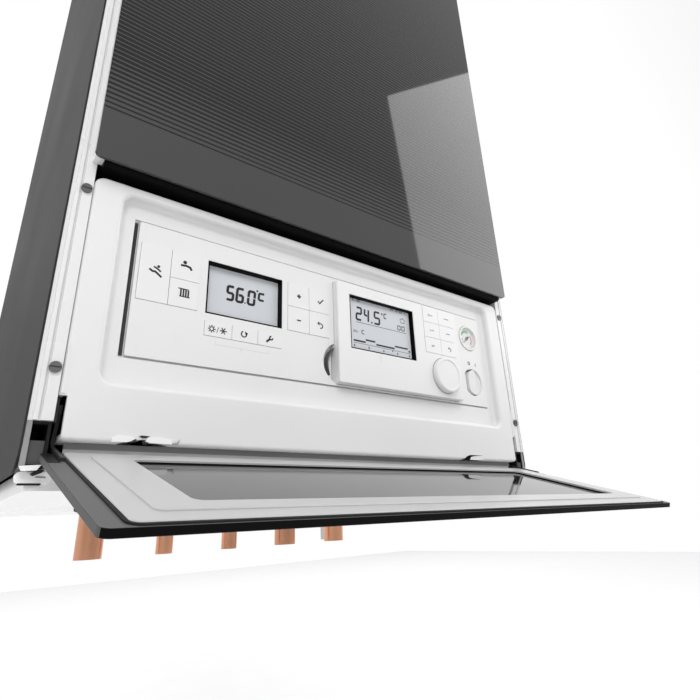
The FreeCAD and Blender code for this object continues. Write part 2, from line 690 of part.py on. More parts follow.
def at_depth(edge, depth):
    """Edge lies wholly at one depth from the wall."""
    limits = edge.BoundBox
    return abs(limits.YMin + depth) < 0.01 and abs(limits.YMax + depth) < 0.01


def within(edge, half, low, high):
    """Edge lies inside a half width and a span of heights."""
    limits = edge.BoundBox
    inside = limits.XMin > -half - 0.01 and limits.XMax < half + 0.01
    return inside and limits.ZMin > low - 0.01 and limits.ZMax < high + 0.01


# Wall bracket: folded strip with two bolt holes and an upturned lip
bracket = body("Bracket")
reach = "(back_sheet + hook_clear + bracket_sheet)"
profile = sketch(bracket, "YZ_Plane", "-bracket_half")
polygon(profile, [
    ("0", "hang_height - bracket_drop"),
    ("0", "hook_height"),
    ("-(back_sheet + hook_clear)", "hook_height"),
    ("-(back_sheet + hook_clear)", "hook_height + hook_tall"),
    ("-" + reach, "hook_height + hook_tall"),
    ("-" + reach, "hook_height - bracket_sheet"),
    ("-bracket_sheet", "hook_height - bracket_sheet"),
    ("-bracket_sheet", "hang_height - bracket_drop"),
])
pad(bracket, profile, "2 * bracket_half")
holes = sketch(bracket, "XZ_Plane")
for side in ("-", ""):
    ring(holes, side + "bolt_spacing / 2", "hang_height", "bolt_hole_r")
pocket(bracket, holes, "bracket_sheet", forward=True)
node(bracket, "wall_bracket")

# Back panel: shallow folded pan with the window that hangs on the bracket
back = body("Back")
outline = sketch(back, "XZ_Plane")
rectangle(outline, "-side_inner", "side_inner", "tray_high", "casing_top")
pad(back, outline, "back_flange")
inside = sketch(back, "XZ_Plane", "back_flange")
rectangle(
    inside,
    "-side_inner + back_sheet",
    "side_inner - back_sheet",
    "tray_high + back_sheet",
    "casing_top - back_sheet",
)
pocket(back, inside, "back_flange - back_sheet")
window = sketch(back, "XZ_Plane", "back_sheet")
rectangle(
    window,
    "-bracket_half - window_play",
    "bracket_half + window_play",
    "hang_height - bracket_drop - window_play / 2",
    "hook_height",
)
pocket(back, window, "back_sheet")
node(back, "back_panel")


def side_panel(label, offset):
    """Flat side sheet with a round lower front corner."""
    owner = body("Side")
    face = sketch(owner, "YZ_Plane", offset)
    rectangle(face, "-side_depth", "0", "0", "height")
    plate = pad(owner, face, "sheet")
    low_front = number("side_depth")

    def lower_corner(edge):
        limits = edge.BoundBox
        return limits.YMax < -low_front + 0.01 and limits.ZMax < 0.01

    soften(owner, plate, "side_corner", lower_corner)
    node(owner, label)


side_panel("left_side_panel", "-side_outer")
side_panel("right_side_panel", "side_inner")

# Top panel with the flue opening
node(
    less(
        box("-side_inner", "side_inner", "0", "side_depth", "casing_top", "casing_top + top_sheet"),
        [
            rod(
                "z",
                "air_r - collar_wall / 2",
                "3 * top_sheet",
                "flue_x",
                "flue_depth",
                "casing_top - top_sheet",
            )
        ],
    ),
    "top_panel",
)

# Connections under the boiler: offset from the centre in stub pitches, and radius
STUBS = [(-2, "stub_r"), (-1, "water_r"), (0, "water_r"), (1, "stub_r"), (2, "stub_r")]

# Bottom tray: folded pan with a clear hole for every connection
tray_tools = [
    box(
        "-tray_half + back_sheet",
        "tray_half - back_sheet",
        "tray_rear_gap + back_sheet",
        "tray_front_depth - back_sheet",
        "tray_low + back_sheet",
        "tray_high + 1",
    ),
    rod("z", "trap_out_r + stub_clear", "4 * back_sheet", "trap_x", "trap_depth", "tray_low - back_sheet"),
]
for step, radius in STUBS:
    tray_tools.append(
        rod(
            "z",
            radius + " + stub_clear",
            "4 * back_sheet",
            "%d * stub_pitch" % step,
            "stub_depth",
            "tray_low - back_sheet",
        )
    )
tray_block = box("-tray_half", "tray_half", "tray_rear_gap", "tray_front_depth", "tray_low", "tray_high")
node(less(tray_block, tray_tools), "bottom_tray")


def front_rail(label, side):
    """Upright front rail with a groove and a stepped outer edge."""
    owner = body("Rail")
    section = sketch(owner, "XY_Plane", "rail_bottom")
    groove_end = "(rail_groove + groove_wide)"
    points = [
        ("rail_inner", "rail_back"),
        ("side_inner", "rail_back"),
        ("side_inner", "border_depth - rail_ledge"),
        ("side_inner - rail_ledge", "border_depth - rail_ledge"),
        ("side_inner - rail_ledge", "border_depth"),
        (groove_end, "border_depth"),
        (groove_end, "border_depth - groove_deep"),
        ("rail_groove", "border_depth - groove_deep"),
        ("rail_groove", "border_depth"),
        ("rail_inner", "border_depth"),
    ]
    polygon(section, [("%s(%s)" % (side, x), "-(%s)" % depth) for x, depth in points])
    pad(owner, section, "casing_top - rail_bottom")
    node(owner, label)


front_rail("left_front_rail", "-")
front_rail("right_front_rail", "")

# Rail screws: four slotted heads
screws = []
for side in ("-", ""):
    for level in ("screw_low", "screw_high"):
        head = rod("y", "screw_head_r", "screw_head", side + "screw_x", "border_depth", level)
        slot = box(
            side + "screw_x - screw_head_r - 1",
            side + "screw_x + screw_head_r + 1",
            "border_depth + screw_head - screw_slot",
            "border_depth + screw_head + 1",
            level + " - screw_slot / 2",
            level + " + screw_slot / 2",
        )
        screws.append(less(head, [slot]))
node(group(screws), "rail_screws")

# Corner guards: open-fronted blocks under the rails
guards = []
for low, high in (("-side_inner", "-rail_inner"), ("rail_inner", "side_inner")):
    shell = box(low, high, "guard_back", "guard_front", "tray_high", "rail_bottom")
    hollow = box(
        low + " + guard_wall",
        high + " - guard_wall",
        "guard_back + guard_wall",
        "guard_front + 1",
        "tray_high + guard_wall",
        "rail_bottom - guard_wall",
    )
    guards.append(less(shell, [hollow]))
node(group(guards), "corner_guards")

# Front cover: pan behind the glass, resting on the rails
cover = body("Cover")
outline = sketch(cover, "XZ_Plane", "border_depth")
rectangle(outline, "-glass_half + cover_inset", "glass_half - cover_inset", "cover_bottom", "casing_top")
pad(cover, outline, "glass_back - border_depth")
inside = sketch(cover, "XZ_Plane", "border_depth")
inner_half = "(rail_inner - cover_seat)"
rectangle(inside, "-" + inner_half, inner_half, "cover_bottom + cover_wall", "casing_top - cover_wall")
pocket(cover, inside, "glass_back - border_depth - cover_skin", forward=True)
node(cover, "front_cover")

# Upper glass
glass = body("Glass")
outline = sketch(glass, "XZ_Plane", "glass_back")
rounded(outline, "-glass_half", "glass_half", "glass_bottom", "casing_top + cover_inset", "flap_corner")
pad(glass, outline, "glass_thick")
node(glass, "front_glass")

# Trim that closes the front cover from below, between the rails
trim = body("Trim")
section = sketch(trim, "YZ_Plane", "-trim_half")
polygon(section, [
    ("-glass_back + trim_set", "cover_bottom"),
    ("-glass_back + trim_deep", "cover_bottom"),
    ("-glass_back + trim_deep", "cover_bottom - trim_tall + trim_edge / 2"),
    ("-glass_back + trim_deep - trim_edge", "cover_bottom - trim_tall"),
    ("-glass_back + trim_set + trim_edge", "cover_bottom - trim_tall"),
    ("-glass_back + trim_set", "cover_bottom - trim_tall + trim_edge"),
])
pad(trim, section, "2 * trim_half")
node(trim, "cover_lower_trim")

# Control fascia: moulded panel with a rounded dish, hollow behind
fascia = body("Fascia")
outline = sketch(fascia, "XZ_Plane", "fascia_back")
rounded(outline, "-fascia_half", "fascia_half", "fascia_bottom", "fascia_top", "fascia_corner")
pad(fascia, outline, "border_depth - fascia_back")
dish = sketch(fascia, "XZ_Plane", "border_depth")
rounded(dish, "-dish_half", "dish_half", "dish_bottom", "dish_top", "dish_corner")
dished = pocket(fascia, dish, "dish_deep")
front_plane = number("border_depth")
floor_plane = number("border_depth - dish_deep")
dish_edge = (number("dish_half"), number("dish_bottom"), number("dish_top"))
rim_spread = number("dish_rim + fascia_edge / 4")
rim_edge = (dish_edge[0] + rim_spread, dish_edge[1] - rim_spread, dish_edge[2] + rim_spread)
floor_soft = soften(fascia, dished, "dish_round", lambda edge: at_depth(edge, floor_plane))
rim_soft = soften(
    fascia,
    floor_soft,
    "dish_rim",
    lambda edge: at_depth(edge, front_plane) and within(edge, *dish_edge),
)
soften(
    fascia,
    rim_soft,
    "fascia_edge",
    lambda edge: at_depth(edge, front_plane) and not within(edge, *rim_edge),
)
shell_in = "(fascia_half - fascia_wall)"
hollow = sketch(fascia, "XZ_Plane", "fascia_back")
rounded(
    hollow,
    "-" + shell_in,
    shell_in,
    "fascia_bottom + fascia_wall",
    "fascia_top - fascia_wall",
    "fascia_corner - fascia_wall",
)
pocket(fascia, hollow, "seat - fascia_back", forward=True)
moat = sketch(fascia, "XZ_Plane", "seat")
rounded(
    moat,
    "-" + shell_in,
    shell_in,
    "fascia_bottom + fascia_wall",
    "fascia_top - fascia_wall",
    "fascia_corner - fascia_wall",
)
rounded(
    moat,
    "-dish_half - fascia_wall",
    "dish_half + fascia_wall",
    "dish_bottom - fascia_wall",
    "dish_top + fascia_wall",
    "dish_corner + fascia_wall",
)
pocket(fascia, moat, "dish_deep", forward=True)
opening = sketch(fascia, "XZ_Plane", "border_depth")
rectangle(
    opening,
    "-insert_half - insert_gap",
    "insert_half + insert_gap",
    "insert_bottom - insert_gap",
    "insert_top + insert_gap",
)
pocket(fascia, opening, "border_depth - fascia_back")
slots = sketch(fascia, "XZ_Plane", "border_depth")
for side, clip in (("-", "-clip_left"), ("", "clip_right")):
    near, far = side + "notch_inner", side + "(fascia_half + 1)"
    rectangle(slots, near, far, "fascia_bottom - 1", "notch_top")
    ring(slots, clip, "fascia_bottom + clip_tall - clip_r", "clip_r")
pocket(fascia, slots, "border_depth - fascia_back")
node(fascia, "control_fascia")

# Control insert: plate with a hidden lip, key openings, display window, module bay and rocker boss
insert = body("Insert")
lip = sketch(insert, "XZ_Plane", "insert_back")
rectangle(
    lip,
    "-insert_half - insert_lip",
    "insert_half + insert_lip",
    "insert_bottom - insert_lip",
    "insert_top + insert_lip",
)
pad(insert, lip, "lip_thick")
plate = sketch(insert, "XZ_Plane", "seat")
rounded(plate, "-insert_half + insert_left", "insert_half", "insert_bottom", "insert_top", "insert_corner")
pad(insert, plate, "insert_face - seat")
boss = sketch(insert, "XZ_Plane", "boss_back")
boss_x = "(rocker_half + rocker_swing + boss_wall)"
boss_z = "(rocker_long + rocker_end + boss_wall)"
rectangle(
    boss,
    "rocker_x - " + boss_x,
    "rocker_x + " + boss_x,
    "rocker_z - " + boss_z,
    "rocker_z + " + boss_z,
)
pad(insert, boss, "insert_back - boss_back")
openings = sketch(insert, "XZ_Plane", "insert_face")
rectangle(openings, "screen_left", "screen_right", "screen_bottom", "screen_top")
rectangle(openings, "mode_left", "mode_right", "screen_bottom", "screen_top")
rectangle(openings, "screen_left", "screen_right", "row_bottom", "row_top")
rectangle(openings, "pad_left", "pad_right", "screen_bottom", "screen_top")
rounded(
    openings,
    "module_left - module_gap",
    "module_right + module_gap",
    "module_bottom - module_gap",
    "module_top + module_gap",
    "module_corner + module_gap",
)
ring(openings, "gauge_x", "gauge_z", "gauge_r + gauge_clear")
swing_x = "(rocker_half + rocker_swing)"
swing_z = "(rocker_long + rocker_end)"
rounded(
    openings,
    "rocker_x - " + swing_x,
    "rocker_x + " + swing_x,
    "rocker_z - " + swing_z,
    "rocker_z + " + swing_z,
    "rocker_half",
)
pocket(insert, openings, "insert_face - boss_back")
saucer = sketch(insert, "XZ_Plane", "insert_face")
ring(saucer, "rocker_x", "rocker_z", "rocker_dish_r")
pocket(insert, saucer, "rocker_dish")
finger = sketch(insert, "XZ_Plane", "insert_face")
ring(finger, "module_left - finger_reach + finger_r", "finger_z", "finger_r")
pocket(insert, finger, "finger_deep")
bore = sketch(insert, "XY_Plane", "rocker_z - " + boss_z)
ring(bore, "rocker_x", "-rocker_pivot", "rocker_pin_r + turn_clear")
pocket(insert, bore, "2 * " + boss_z, forward=True)
node(insert, "control_insert")

# Boiler display: dark frame in the window, and the display on its floor
floor = "(insert_face - screen_sunk - screen_thick)"
window = ("screen_left + screen_play", "screen_right - screen_play")
level = ("screen_bottom + screen_play", "screen_top - screen_play")
frame_ring = join([
    box(window[0], window[1], "insert_back", "insert_face", level[0], level[1]),
    box(
        "screen_left - screen_flange",
        "screen_right + screen_flange",
        "insert_back - screen_flange",
        "insert_back",
        "screen_bottom - screen_flange",
        "screen_top + screen_flange",
    ),
])
well = box(
    window[0] + " + screen_wall",
    window[1] + " - screen_wall",
    floor,
    "insert_face + 1",
    level[0] + " + screen_wall",
    level[1] + " - screen_wall",
)
node(less(frame_ring, [well]), "display_frame")
box_node(
    "boiler_display",
    "screen_left + 2 * screen_play + screen_wall",
    "screen_right - 2 * screen_play - screen_wall",
    floor,
    floor + " + screen_thick",
    "screen_bottom + 2 * screen_play + screen_wall",
    "screen_top - 2 * screen_play - screen_wall",
)


def insert_key(label, x0, x1, z0, z1, above, below):
    """Key cap through the insert, held by a lip behind its free edges."""
    owner = body("Key")
    wide = "((%s) - (%s) - key_gap)" % (x1, x0)
    tall = "((%s) - (%s) - key_gap)" % (z1, z0)
    cap = sketch(owner, "XZ_Plane")
    rectangle(cap, "-%s / 2" % wide, "%s / 2" % wide, "-%s / 2" % tall, "%s / 2" % tall)
    pad(owner, cap, "insert_face + key_proud - insert_back")
    edge = sketch(owner, "XZ_Plane")
    rectangle(
        edge,
        "-%s / 2 + key_lip_inset" % wide,
        "%s / 2 - key_lip_inset" % wide,
        "-%s / 2%s" % (tall, " - key_lip" if below else " + key_lip"),
        "%s / 2%s" % (tall, " + key_lip" if above else " - key_lip"),
    )
    pad(owner, edge, "key_lip_thick", back=True)
    node(owner, label, "((%s) + (%s)) / 2" % (x0, x1), "-insert_back", "((%s) + (%s)) / 2" % (z0, z1))


mode_middle = "((mode_left + mode_right) / 2)"
screen_middle = "((screen_bottom + screen_top) / 2)"
pad_middle = "((pad_left + pad_right) / 2)"
insert_key("key_sweep", "mode_left", mode_middle, "screen_bottom", "screen_top", True, True)
insert_key("key_tap", mode_middle, "mode_right", screen_middle, "screen_top", True, False)
insert_key("key_radiator", mode_middle, "mode_right", "screen_bottom", screen_middle, False, True)
insert_key("key_plus", "pad_left", pad_middle, screen_middle, "screen_top", True, False)
insert_key("key_accept", pad_middle, "pad_right", screen_middle, "screen_top", True, False)
insert_key("key_minus", "pad_left", pad_middle, "screen_bottom", screen_middle, False, True)
insert_key("key_back", pad_middle, "pad_right", "screen_bottom", screen_middle, False, True)
row_step = "((screen_right - screen_left) / 3)"
for place_in_row, label in enumerate(("key_season", "key_restart", "key_service")):
    insert_key(
        label,
        "screen_left + %d * %s" % (place_in_row, row_step),
        "screen_left + %d * %s" % (place_in_row + 1, row_step),
        "row_bottom",
        "row_top",
        False,
        True,
    )

# Module dock: open box behind the insert that the room control module plugs into
dock_out = "(module_gap + dock_wall)"
dock_shell = box(
    "module_left - " + dock_out,
    "module_right + " + dock_out,
    "module_back - dock_floor",
    "insert_back",
    "module_bottom - " + dock_out,
    "module_top + " + dock_out,
)
dock_hollow = box(
    "module_left - module_gap",
    "module_right + module_gap",
    "module_back",
    "insert_back + 1",
    "module_bottom - module_gap",
    "module_top + module_gap",
)
node(less(dock_shell, [dock_hollow]), "module_dock")

# Room control module: housing with display pocket, key pocket and knob bore
module = body("Module")
outline = sketch(module, "XZ_Plane")
rounded(outline, "0", "module_wide", "0", "module_tall", "module_corner")
housing = pad(module, outline, "module_thick")
module_front = number("module_thick")
bevel(module, housing, "module_edge", lambda edge: at_depth(edge, module_front))
parting = sketch(module, "XZ_Plane", "module_thick - parting_set")
rectangle(
    parting,
    "-parting_deep",
    "module_wide + parting_deep",
    "-parting_deep",
    "module_tall + parting_deep",
)
rounded(
    parting,
    "parting_deep",
    "module_wide - parting_deep",
    "parting_deep",
    "module_tall - parting_deep",
    "module_corner",
)
pocket(module, parting, "parting_wide")
wells = sketch(module, "XZ_Plane", "module_thick")
rectangle(wells, "lcd_left", "lcd_left + lcd_wide", "lcd_bottom", "lcd_bottom + lcd_tall")
pocket(module, wells, "lcd_sunk")
wells = sketch(module, "XZ_Plane", "module_thick")
rectangle(wells, "soft_left", "soft_right", "soft_bottom", "soft_top")
pocket(module, wells, "soft_deep")
wells = sketch(module, "XZ_Plane", "module_thick")
ring(wells, "knob_x", "knob_z", "knob_stem_r + turn_clear")
pocket(module, wells, "knob_stem + knob_stem_r / 2")
node(module, "module_housing", "module_left", "-module_back", "module_bottom")

# Display of the module: shallow tray with its picture on the floor
lcd_span = ("module_left + lcd_left + screen_play", "module_left + lcd_left + lcd_wide - screen_play")
lcd_low = "module_bottom + lcd_bottom"
lcd_level = (lcd_low + " + screen_play", lcd_low + " + lcd_tall - screen_play")
lcd_floor = "(module_face - lcd_sunk)"
node(
    less(
        box(lcd_span[0], lcd_span[1], lcd_floor, "module_face - screen_play", lcd_level[0], lcd_level[1]),
        [
            box(
                lcd_span[0] + " + screen_wall",
                lcd_span[1] + " - screen_wall",
                lcd_floor + " + screen_thick",
                "module_face + 1",
                lcd_level[0] + " + screen_wall",
                lcd_level[1] + " - screen_wall",
            )
        ],
    ),
    "module_display",
)


def module_key(label, column, row):
    """Flat key in the module's key pocket."""
    owner = body("Key")
    wide = "((soft_right - soft_left) / 2 - key_gap)"
    tall = "((soft_top - soft_bottom) / 3 - key_gap)"
    cap = sketch(owner, "XZ_Plane")
    rectangle(cap, "-%s / 2" % wide, "%s / 2" % wide, "-%s / 2" % tall, "%s / 2" % tall)
    pad(owner, cap, "soft_thick")
    node(
        owner,
        label,
        "module_left + soft_left + (soft_right - soft_left) * %g" % (0.25 + 0.5 * column),
        "-(module_face + key_proud - soft_thick)",
        "module_bottom + soft_bottom + (soft_top - soft_bottom) * %d / 6" % (1 + 2 * row),
    )


for row in range(3):
    for column in range(2):
        module_key("module_key_%d" % (5 - 2 * row + column), column, row)

# Knob of the module: turned shape with a shallow hollow face and a stem
knob = body("Knob")
section = sketch(knob, "YZ_Plane")
polygon(section, [
    ("knob_stem", "0"),
    ("knob_stem", "knob_stem_r"),
    ("0", "knob_stem_r"),
    ("0", "knob_r"),
    ("-knob_tall + knob_edge", "knob_r"),
    ("-knob_tall", "knob_r - knob_edge"),
    ("-knob_tall", "knob_r - 2 * knob_edge"),
    ("-knob_tall + knob_hollow", "knob_r - 2 * knob_edge - knob_hollow"),
    ("-knob_tall + knob_hollow", "0"),
])
revolve(knob, section, "H_Axis")
node(knob, "module_knob", "module_left + knob_x", "-module_face", "module_bottom + knob_z")

# Pressure gauge: turned case with bezel, seat for the lens, dial floor and spindle bore
gauge_back = "(insert_face - insert_back)"
shell_r = "(gauge_r - 1.4 * gauge_flange)"
glass_r = "(gauge_r - gauge_ring)"
case = body("Gauge")
section = sketch(case, "YZ_Plane")
polygon(section, [
    ("gauge_body", "0"),
    ("gauge_body", shell_r),
    (gauge_back + " + lip_thick", shell_r),
    (gauge_back + " + lip_thick", "gauge_r + gauge_flange"),
    (gauge_back, "gauge_r + gauge_flange"),
    (gauge_back, "gauge_r"),
    ("-gauge_proud / 2", "gauge_r"),
    ("-gauge_proud", "gauge_r - gauge_proud / 2"),
    ("-gauge_proud", glass_r),
    ("gauge_ledge / 2", glass_r),
    ("gauge_ledge / 2", glass_r + " - gauge_ledge"),
    ("gauge_floor", glass_r + " - gauge_ledge"),
    ("gauge_floor", "spindle_r + turn_clear"),
    ("spindle_bore", "spindle_r + turn_clear"),
    ("spindle_bore", "0"),
])
revolve(case, section, "H_Axis")
node(case, "gauge_case", "gauge_x", "-insert_face", "gauge_z")

lens = body("Lens")
section = sketch(lens, "YZ_Plane")
polygon(section, [
    ("gauge_ledge / 2", "0"),
    ("gauge_ledge / 2", glass_r + " - gauge_clear"),
    ("-gauge_proud * 0.6", glass_r + " - gauge_clear"),
    ("-gauge_proud * 0.6", "0"),
])
revolve(lens, section, "H_Axis")
node(lens, "gauge_lens", "gauge_x", "-insert_face", "gauge_z")

# Needle: pointer, hub and spindle, drawn upright and turned back to its zero mark
needle = body("Needle")
pointer = sketch(needle, "XZ_Plane", "-gauge_floor * 0.75")
polygon(pointer, [
    ("-spindle_r", "-needle_tail"),
    ("spindle_r", "-needle_tail"),
    ("spindle_r * 0.6", "0"),
    ("spindle_r * 0.2", "needle_long"),
    ("-spindle_r * 0.2", "needle_long"),
    ("-spindle_r * 0.6", "0"),
])
pad(needle, pointer, "gauge_floor / 7")
hub = sketch(needle, "XZ_Plane", "-gauge_floor * 0.85")
ring(hub, "0", "0", "2 * spindle_r")
pad(needle, hub, "gauge_floor * 0.45")
spindle = sketch(needle, "XZ_Plane", "-spindle_bore * 0.9")
ring(spindle, "0", "0", "spindle_r")
pad(needle, spindle, "spindle_bore * 0.9 - gauge_floor * 0.6")
node(needle, "gauge_needle", "gauge_x", "-insert_face", "gauge_z")
needle.Placement.Rotation = FreeCAD.Rotation(FreeCAD.Vector(0, -1, 0), number("needle_rest"))
drive(needle, "Placement.Rotation.Angle", "needle_rest")

# Power rocker: paddle with a crest and two pins
rocker = body("Rocker")
crest = "(rocker_crest - rocker_pivot)"
paddle = sketch(rocker, "XZ_Plane", "-rocker_back")
rounded(paddle, "-rocker_half", "rocker_half", "-rocker_long", "rocker_long", "rocker_half - turn_clear")
pad(rocker, paddle, crest + " + rocker_back")
slopes = sketch(rocker, "XY_Plane", "-rocker_long - 1")
for side in ("-", ""):
    polygon(slopes, [
        (side + "rocker_flat", "-%s - 1" % crest),
        (side + "rocker_flat", "-" + crest),
        (side + "(rocker_half + 1)", "-%s + rocker_slope" % crest),
        (side + "(rocker_half + 1)", "-%s - 1" % crest),
    ])
pocket(rocker, slopes, "2 * rocker_long + 2", forward=True)
pin = sketch(rocker, "XY_Plane", "-%s + rocker_end" % boss_z)
ring(pin, "0", "0", "rocker_pin_r")
pad(rocker, pin, "2 * %s - 2 * rocker_end" % boss_z)
node(rocker, "power_rocker", "rocker_x", "-rocker_pivot", "rocker_z")
rocker.Placement.Rotation = FreeCAD.Rotation(FreeCAD.Vector(0, 0, 1), number("rocker_tilt"))
drive(rocker, "Placement.Rotation.Angle", "rocker_tilt")

# Control box behind the fascia
node(
    less(
        box("-box_half", "box_half", "box_back", "fascia_back", "box_bottom", "box_top"),
        [
            box(
                "-box_half + box_wall",
                "box_half - box_wall",
                "box_back + box_wall",
                "fascia_back + 1",
                "box_bottom + box_wall",
                "box_top - box_wall",
            )
        ],
    ),
    "control_box",
)


# Flap: drawn closed about its pivot line, then turned open
def flap_node(thing, label):
    node(thing, label, "0", "-pivot_depth", "pivot_height")
    thing.Placement.Rotation = FreeCAD.Rotation(FreeCAD.Vector(1, 0, 0), number("open_angle"))
    drive(thing, "Placement.Rotation.Angle", "open_angle")


rim = "(rim_depth - pivot_depth)"
flap_back = "(glass_back - pivot_depth)"
frame_low = "(flap_set + frame_inset)"
frame_high = "(flap_top - frame_front)"

# Flap frame: open border behind the flap glass, its outer band one step lower
flap = body("FlapFrame")
outline = sketch(flap, "XZ_Plane", rim)
rounded(outline, "-frame_half", "frame_half", frame_low, frame_high, "flap_corner")
pad(flap, outline, "%s - %s" % (flap_back, rim))
middle = sketch(flap, "XZ_Plane", rim)
rounded(
    middle,
    "-frame_half + tray_side",
    "frame_half - tray_side",
    frame_low + " + tray_rear",
    frame_high + " - tray_front",
    "tray_corner",
)
pocket(flap, middle, "%s - %s" % (flap_back, rim), forward=True)
band = sketch(flap, "XZ_Plane", rim)
rectangle(band, "-frame_half - 1", "frame_half + 1", frame_low + " - 1", frame_high + " + 1")
rounded(
    band,
    "-frame_half + frame_band",
    "frame_half - frame_band",
    frame_low + " + frame_band",
    frame_high + " - frame_band",
    "flap_corner",
)
stepped = pocket(flap, band, "band_drop", forward=True)
rim_planes = (number(rim), number(rim + " + band_drop"))
step_half = number("frame_half - 2 * frame_band / 3")
step_levels = (number(frame_low + " + frame_band"), number(frame_high + " - frame_band"))


def frame_edge(edge):
    """Edge round the opening, at the top of the step, or round the outside."""
    low_inner = at_depth(edge, rim_planes[1]) and within(edge, step_half, *step_levels)
    return (at_depth(edge, rim_planes[0]) or at_depth(edge, rim_planes[1])) and not low_inner


bevel(flap, stepped, "tray_bevel", frame_edge)
flap_node(flap, "flap_frame")

pane = body("FlapGlass")
outline = sketch(pane, "XZ_Plane", flap_back)
rounded(outline, "-glass_half", "glass_half", "flap_set", "flap_top", "flap_corner")
pad(pane, outline, "glass_thick")
flap_node(pane, "flap_glass")


def flap_arm(offset):
    """Cranked arm from the back of the flap glass to its eye on the pivot line."""
    owner = body("Arm")
    leg = "(%s - arm_leg)" % flap_back
    outline = sketch(owner, "YZ_Plane", offset)
    polygon(outline, [
        ("arm_wide / 2", "-arm_wide / 2"),
        ("-" + flap_back, "-arm_wide / 2"),
        ("-" + flap_back, "arm_reach"),
        ("-" + leg, "arm_reach"),
        ("-" + leg, "arm_wide / 2"),
        ("arm_wide / 2", "arm_wide / 2"),
    ])
    ring(outline, "0", "0", "hinge_pin_r + turn_clear")
    strip = pad(owner, outline, "arm_thick")
    crank = number(leg)

    def corner(edge):
        limits = edge.BoundBox
        return limits.XLength > 1 and limits.YLength < 0.01 and limits.ZLength < 0.01

    def bend(edge):
        limits = edge.BoundBox
        at_crank = abs(limits.YMin + crank) < 0.01 and abs(limits.ZMin - number("arm_wide / 2")) < 0.01
        return corner(edge) and limits.ZMax < number("arm_wide") and (at_crank or limits.ZMin < 0)

    soften(owner, strip, "arm_round", bend)
    return owner


flap_node(group([flap_arm("-arm_in - arm_thick"), flap_arm("arm_in")]), "flap_arms")

# Hinge brackets: plate on the rail with a pin
plate_in = "(arm_in + arm_thick + hinge_gap)"
hinges = []
for low, high, pin_start in (
    ("-rail_inner", "-" + plate_in, "-" + plate_in),
    (plate_in, "rail_inner", "arm_in"),
):
    hinges.append(join([
        box(
            low,
            high,
            "pivot_depth - hinge_rear",
            "pivot_depth + hinge_front",
            "pivot_height - hinge_tall",
            "pivot_height + hinge_tall",
        ),
        rod("x", "hinge_pin_r", "arm_thick + hinge_gap", pin_start, "pivot_depth", "pivot_height"),
    ]))
node(group(hinges), "hinge_brackets")

# Heat exchanger: cast shell with cooling grooves, its chamber open to the hood, and four feet
exchanger = body("Exchanger")
outline = sketch(exchanger, "XZ_Plane", "exchanger_back")
rectangle(outline, "exchanger_left", "exchanger_right", "exchanger_bottom", "exchanger_top")
pad(exchanger, outline, "exchanger_front - exchanger_back")
feet = sketch(exchanger, "XZ_Plane", "back_sheet")
for x in ("exchanger_left + foot_edge", "exchanger_right - foot_edge - foot_size"):
    for z in ("exchanger_bottom + 2 * foot_edge", "exchanger_top - 2 * foot_edge - foot_size"):
        rectangle(feet, x, x + " + foot_size", z, z + " + foot_size")
pad(exchanger, feet, "exchanger_back - back_sheet")
groove = sketch(exchanger, "XZ_Plane", "exchanger_front")
rectangle(
    groove,
    "exchanger_left + fin_side",
    "exchanger_right - fin_side",
    "exchanger_bottom + fin_edge",
    "exchanger_bottom + fin_edge + fin_tall",
)
cut = pocket(exchanger, groove, "fin_deep")
pattern = exchanger.newObject("PartDesign::LinearPattern", "Fins")
pattern.Originals = [cut]
pattern.Direction = (groove, ["V_Axis"])
drive(pattern, "Length", "fin_pitch * (fin_count - 1)")
drive(pattern, "Occurrences", "fin_count")
exchanger.Tip = pattern
doc.recompute()
chamber = sketch(exchanger, "XY_Plane", "exchanger_top")
rectangle(
    chamber,
    "exchanger_left + exchanger_wall",
    "exchanger_right - exchanger_wall",
    "-exchanger_front + exchanger_wall",
    "-exchanger_back - exchanger_wall",
)
pocket(exchanger, chamber, "exchanger_tall - exchanger_wall")
node(exchanger, "heat_exchanger")

# Burner hood: flanged lid on the heat exchanger
hood_x = ("exchanger_left", "exchanger_right")
node(
    join([
        box(
            hood_x[0],
            hood_x[1],
            "exchanger_back",
            "exchanger_front",
            "exchanger_top",
            "exchanger_top + hood_flange",
        ),
        box(
            hood_x[0] + " + hood_edge",
            hood_x[1] + " - hood_edge",
            "exchanger_back + hood_edge",
            "exchanger_front - hood_edge",
            "exchanger_top + hood_flange",
            "fan_bottom",
        ),
    ]),
    "burner_hood",
)

# Fan housing: turned drum with motor on top, shaft bore and side inlet
drum = less(
    join([
        rod("z", "fan_r", "fan_tall", "fan_x", "fan_depth", "fan_bottom"),
        rod("z", "motor_r", "motor_tall", "fan_x", "fan_depth", "fan_bottom + fan_tall"),
        rod("x", "inlet_r", "fan_x - inlet_end", "inlet_end", "fan_depth", "fan_middle"),
    ]),
    [
        rod(
            "z",
            "fan_r - fan_wall",
            "fan_tall - 2 * fan_wall",
            "fan_x",
            "fan_depth",
            "fan_bottom + fan_wall",
        ),
        rod(
            "z",
            "fan_shaft_r + turn_clear",
            "fan_wall + 1.1 * fan_shaft",
            "fan_x",
            "fan_depth",
            "fan_bottom + fan_tall - fan_wall",
        ),
    ],
)
node(drum, "fan_housing")

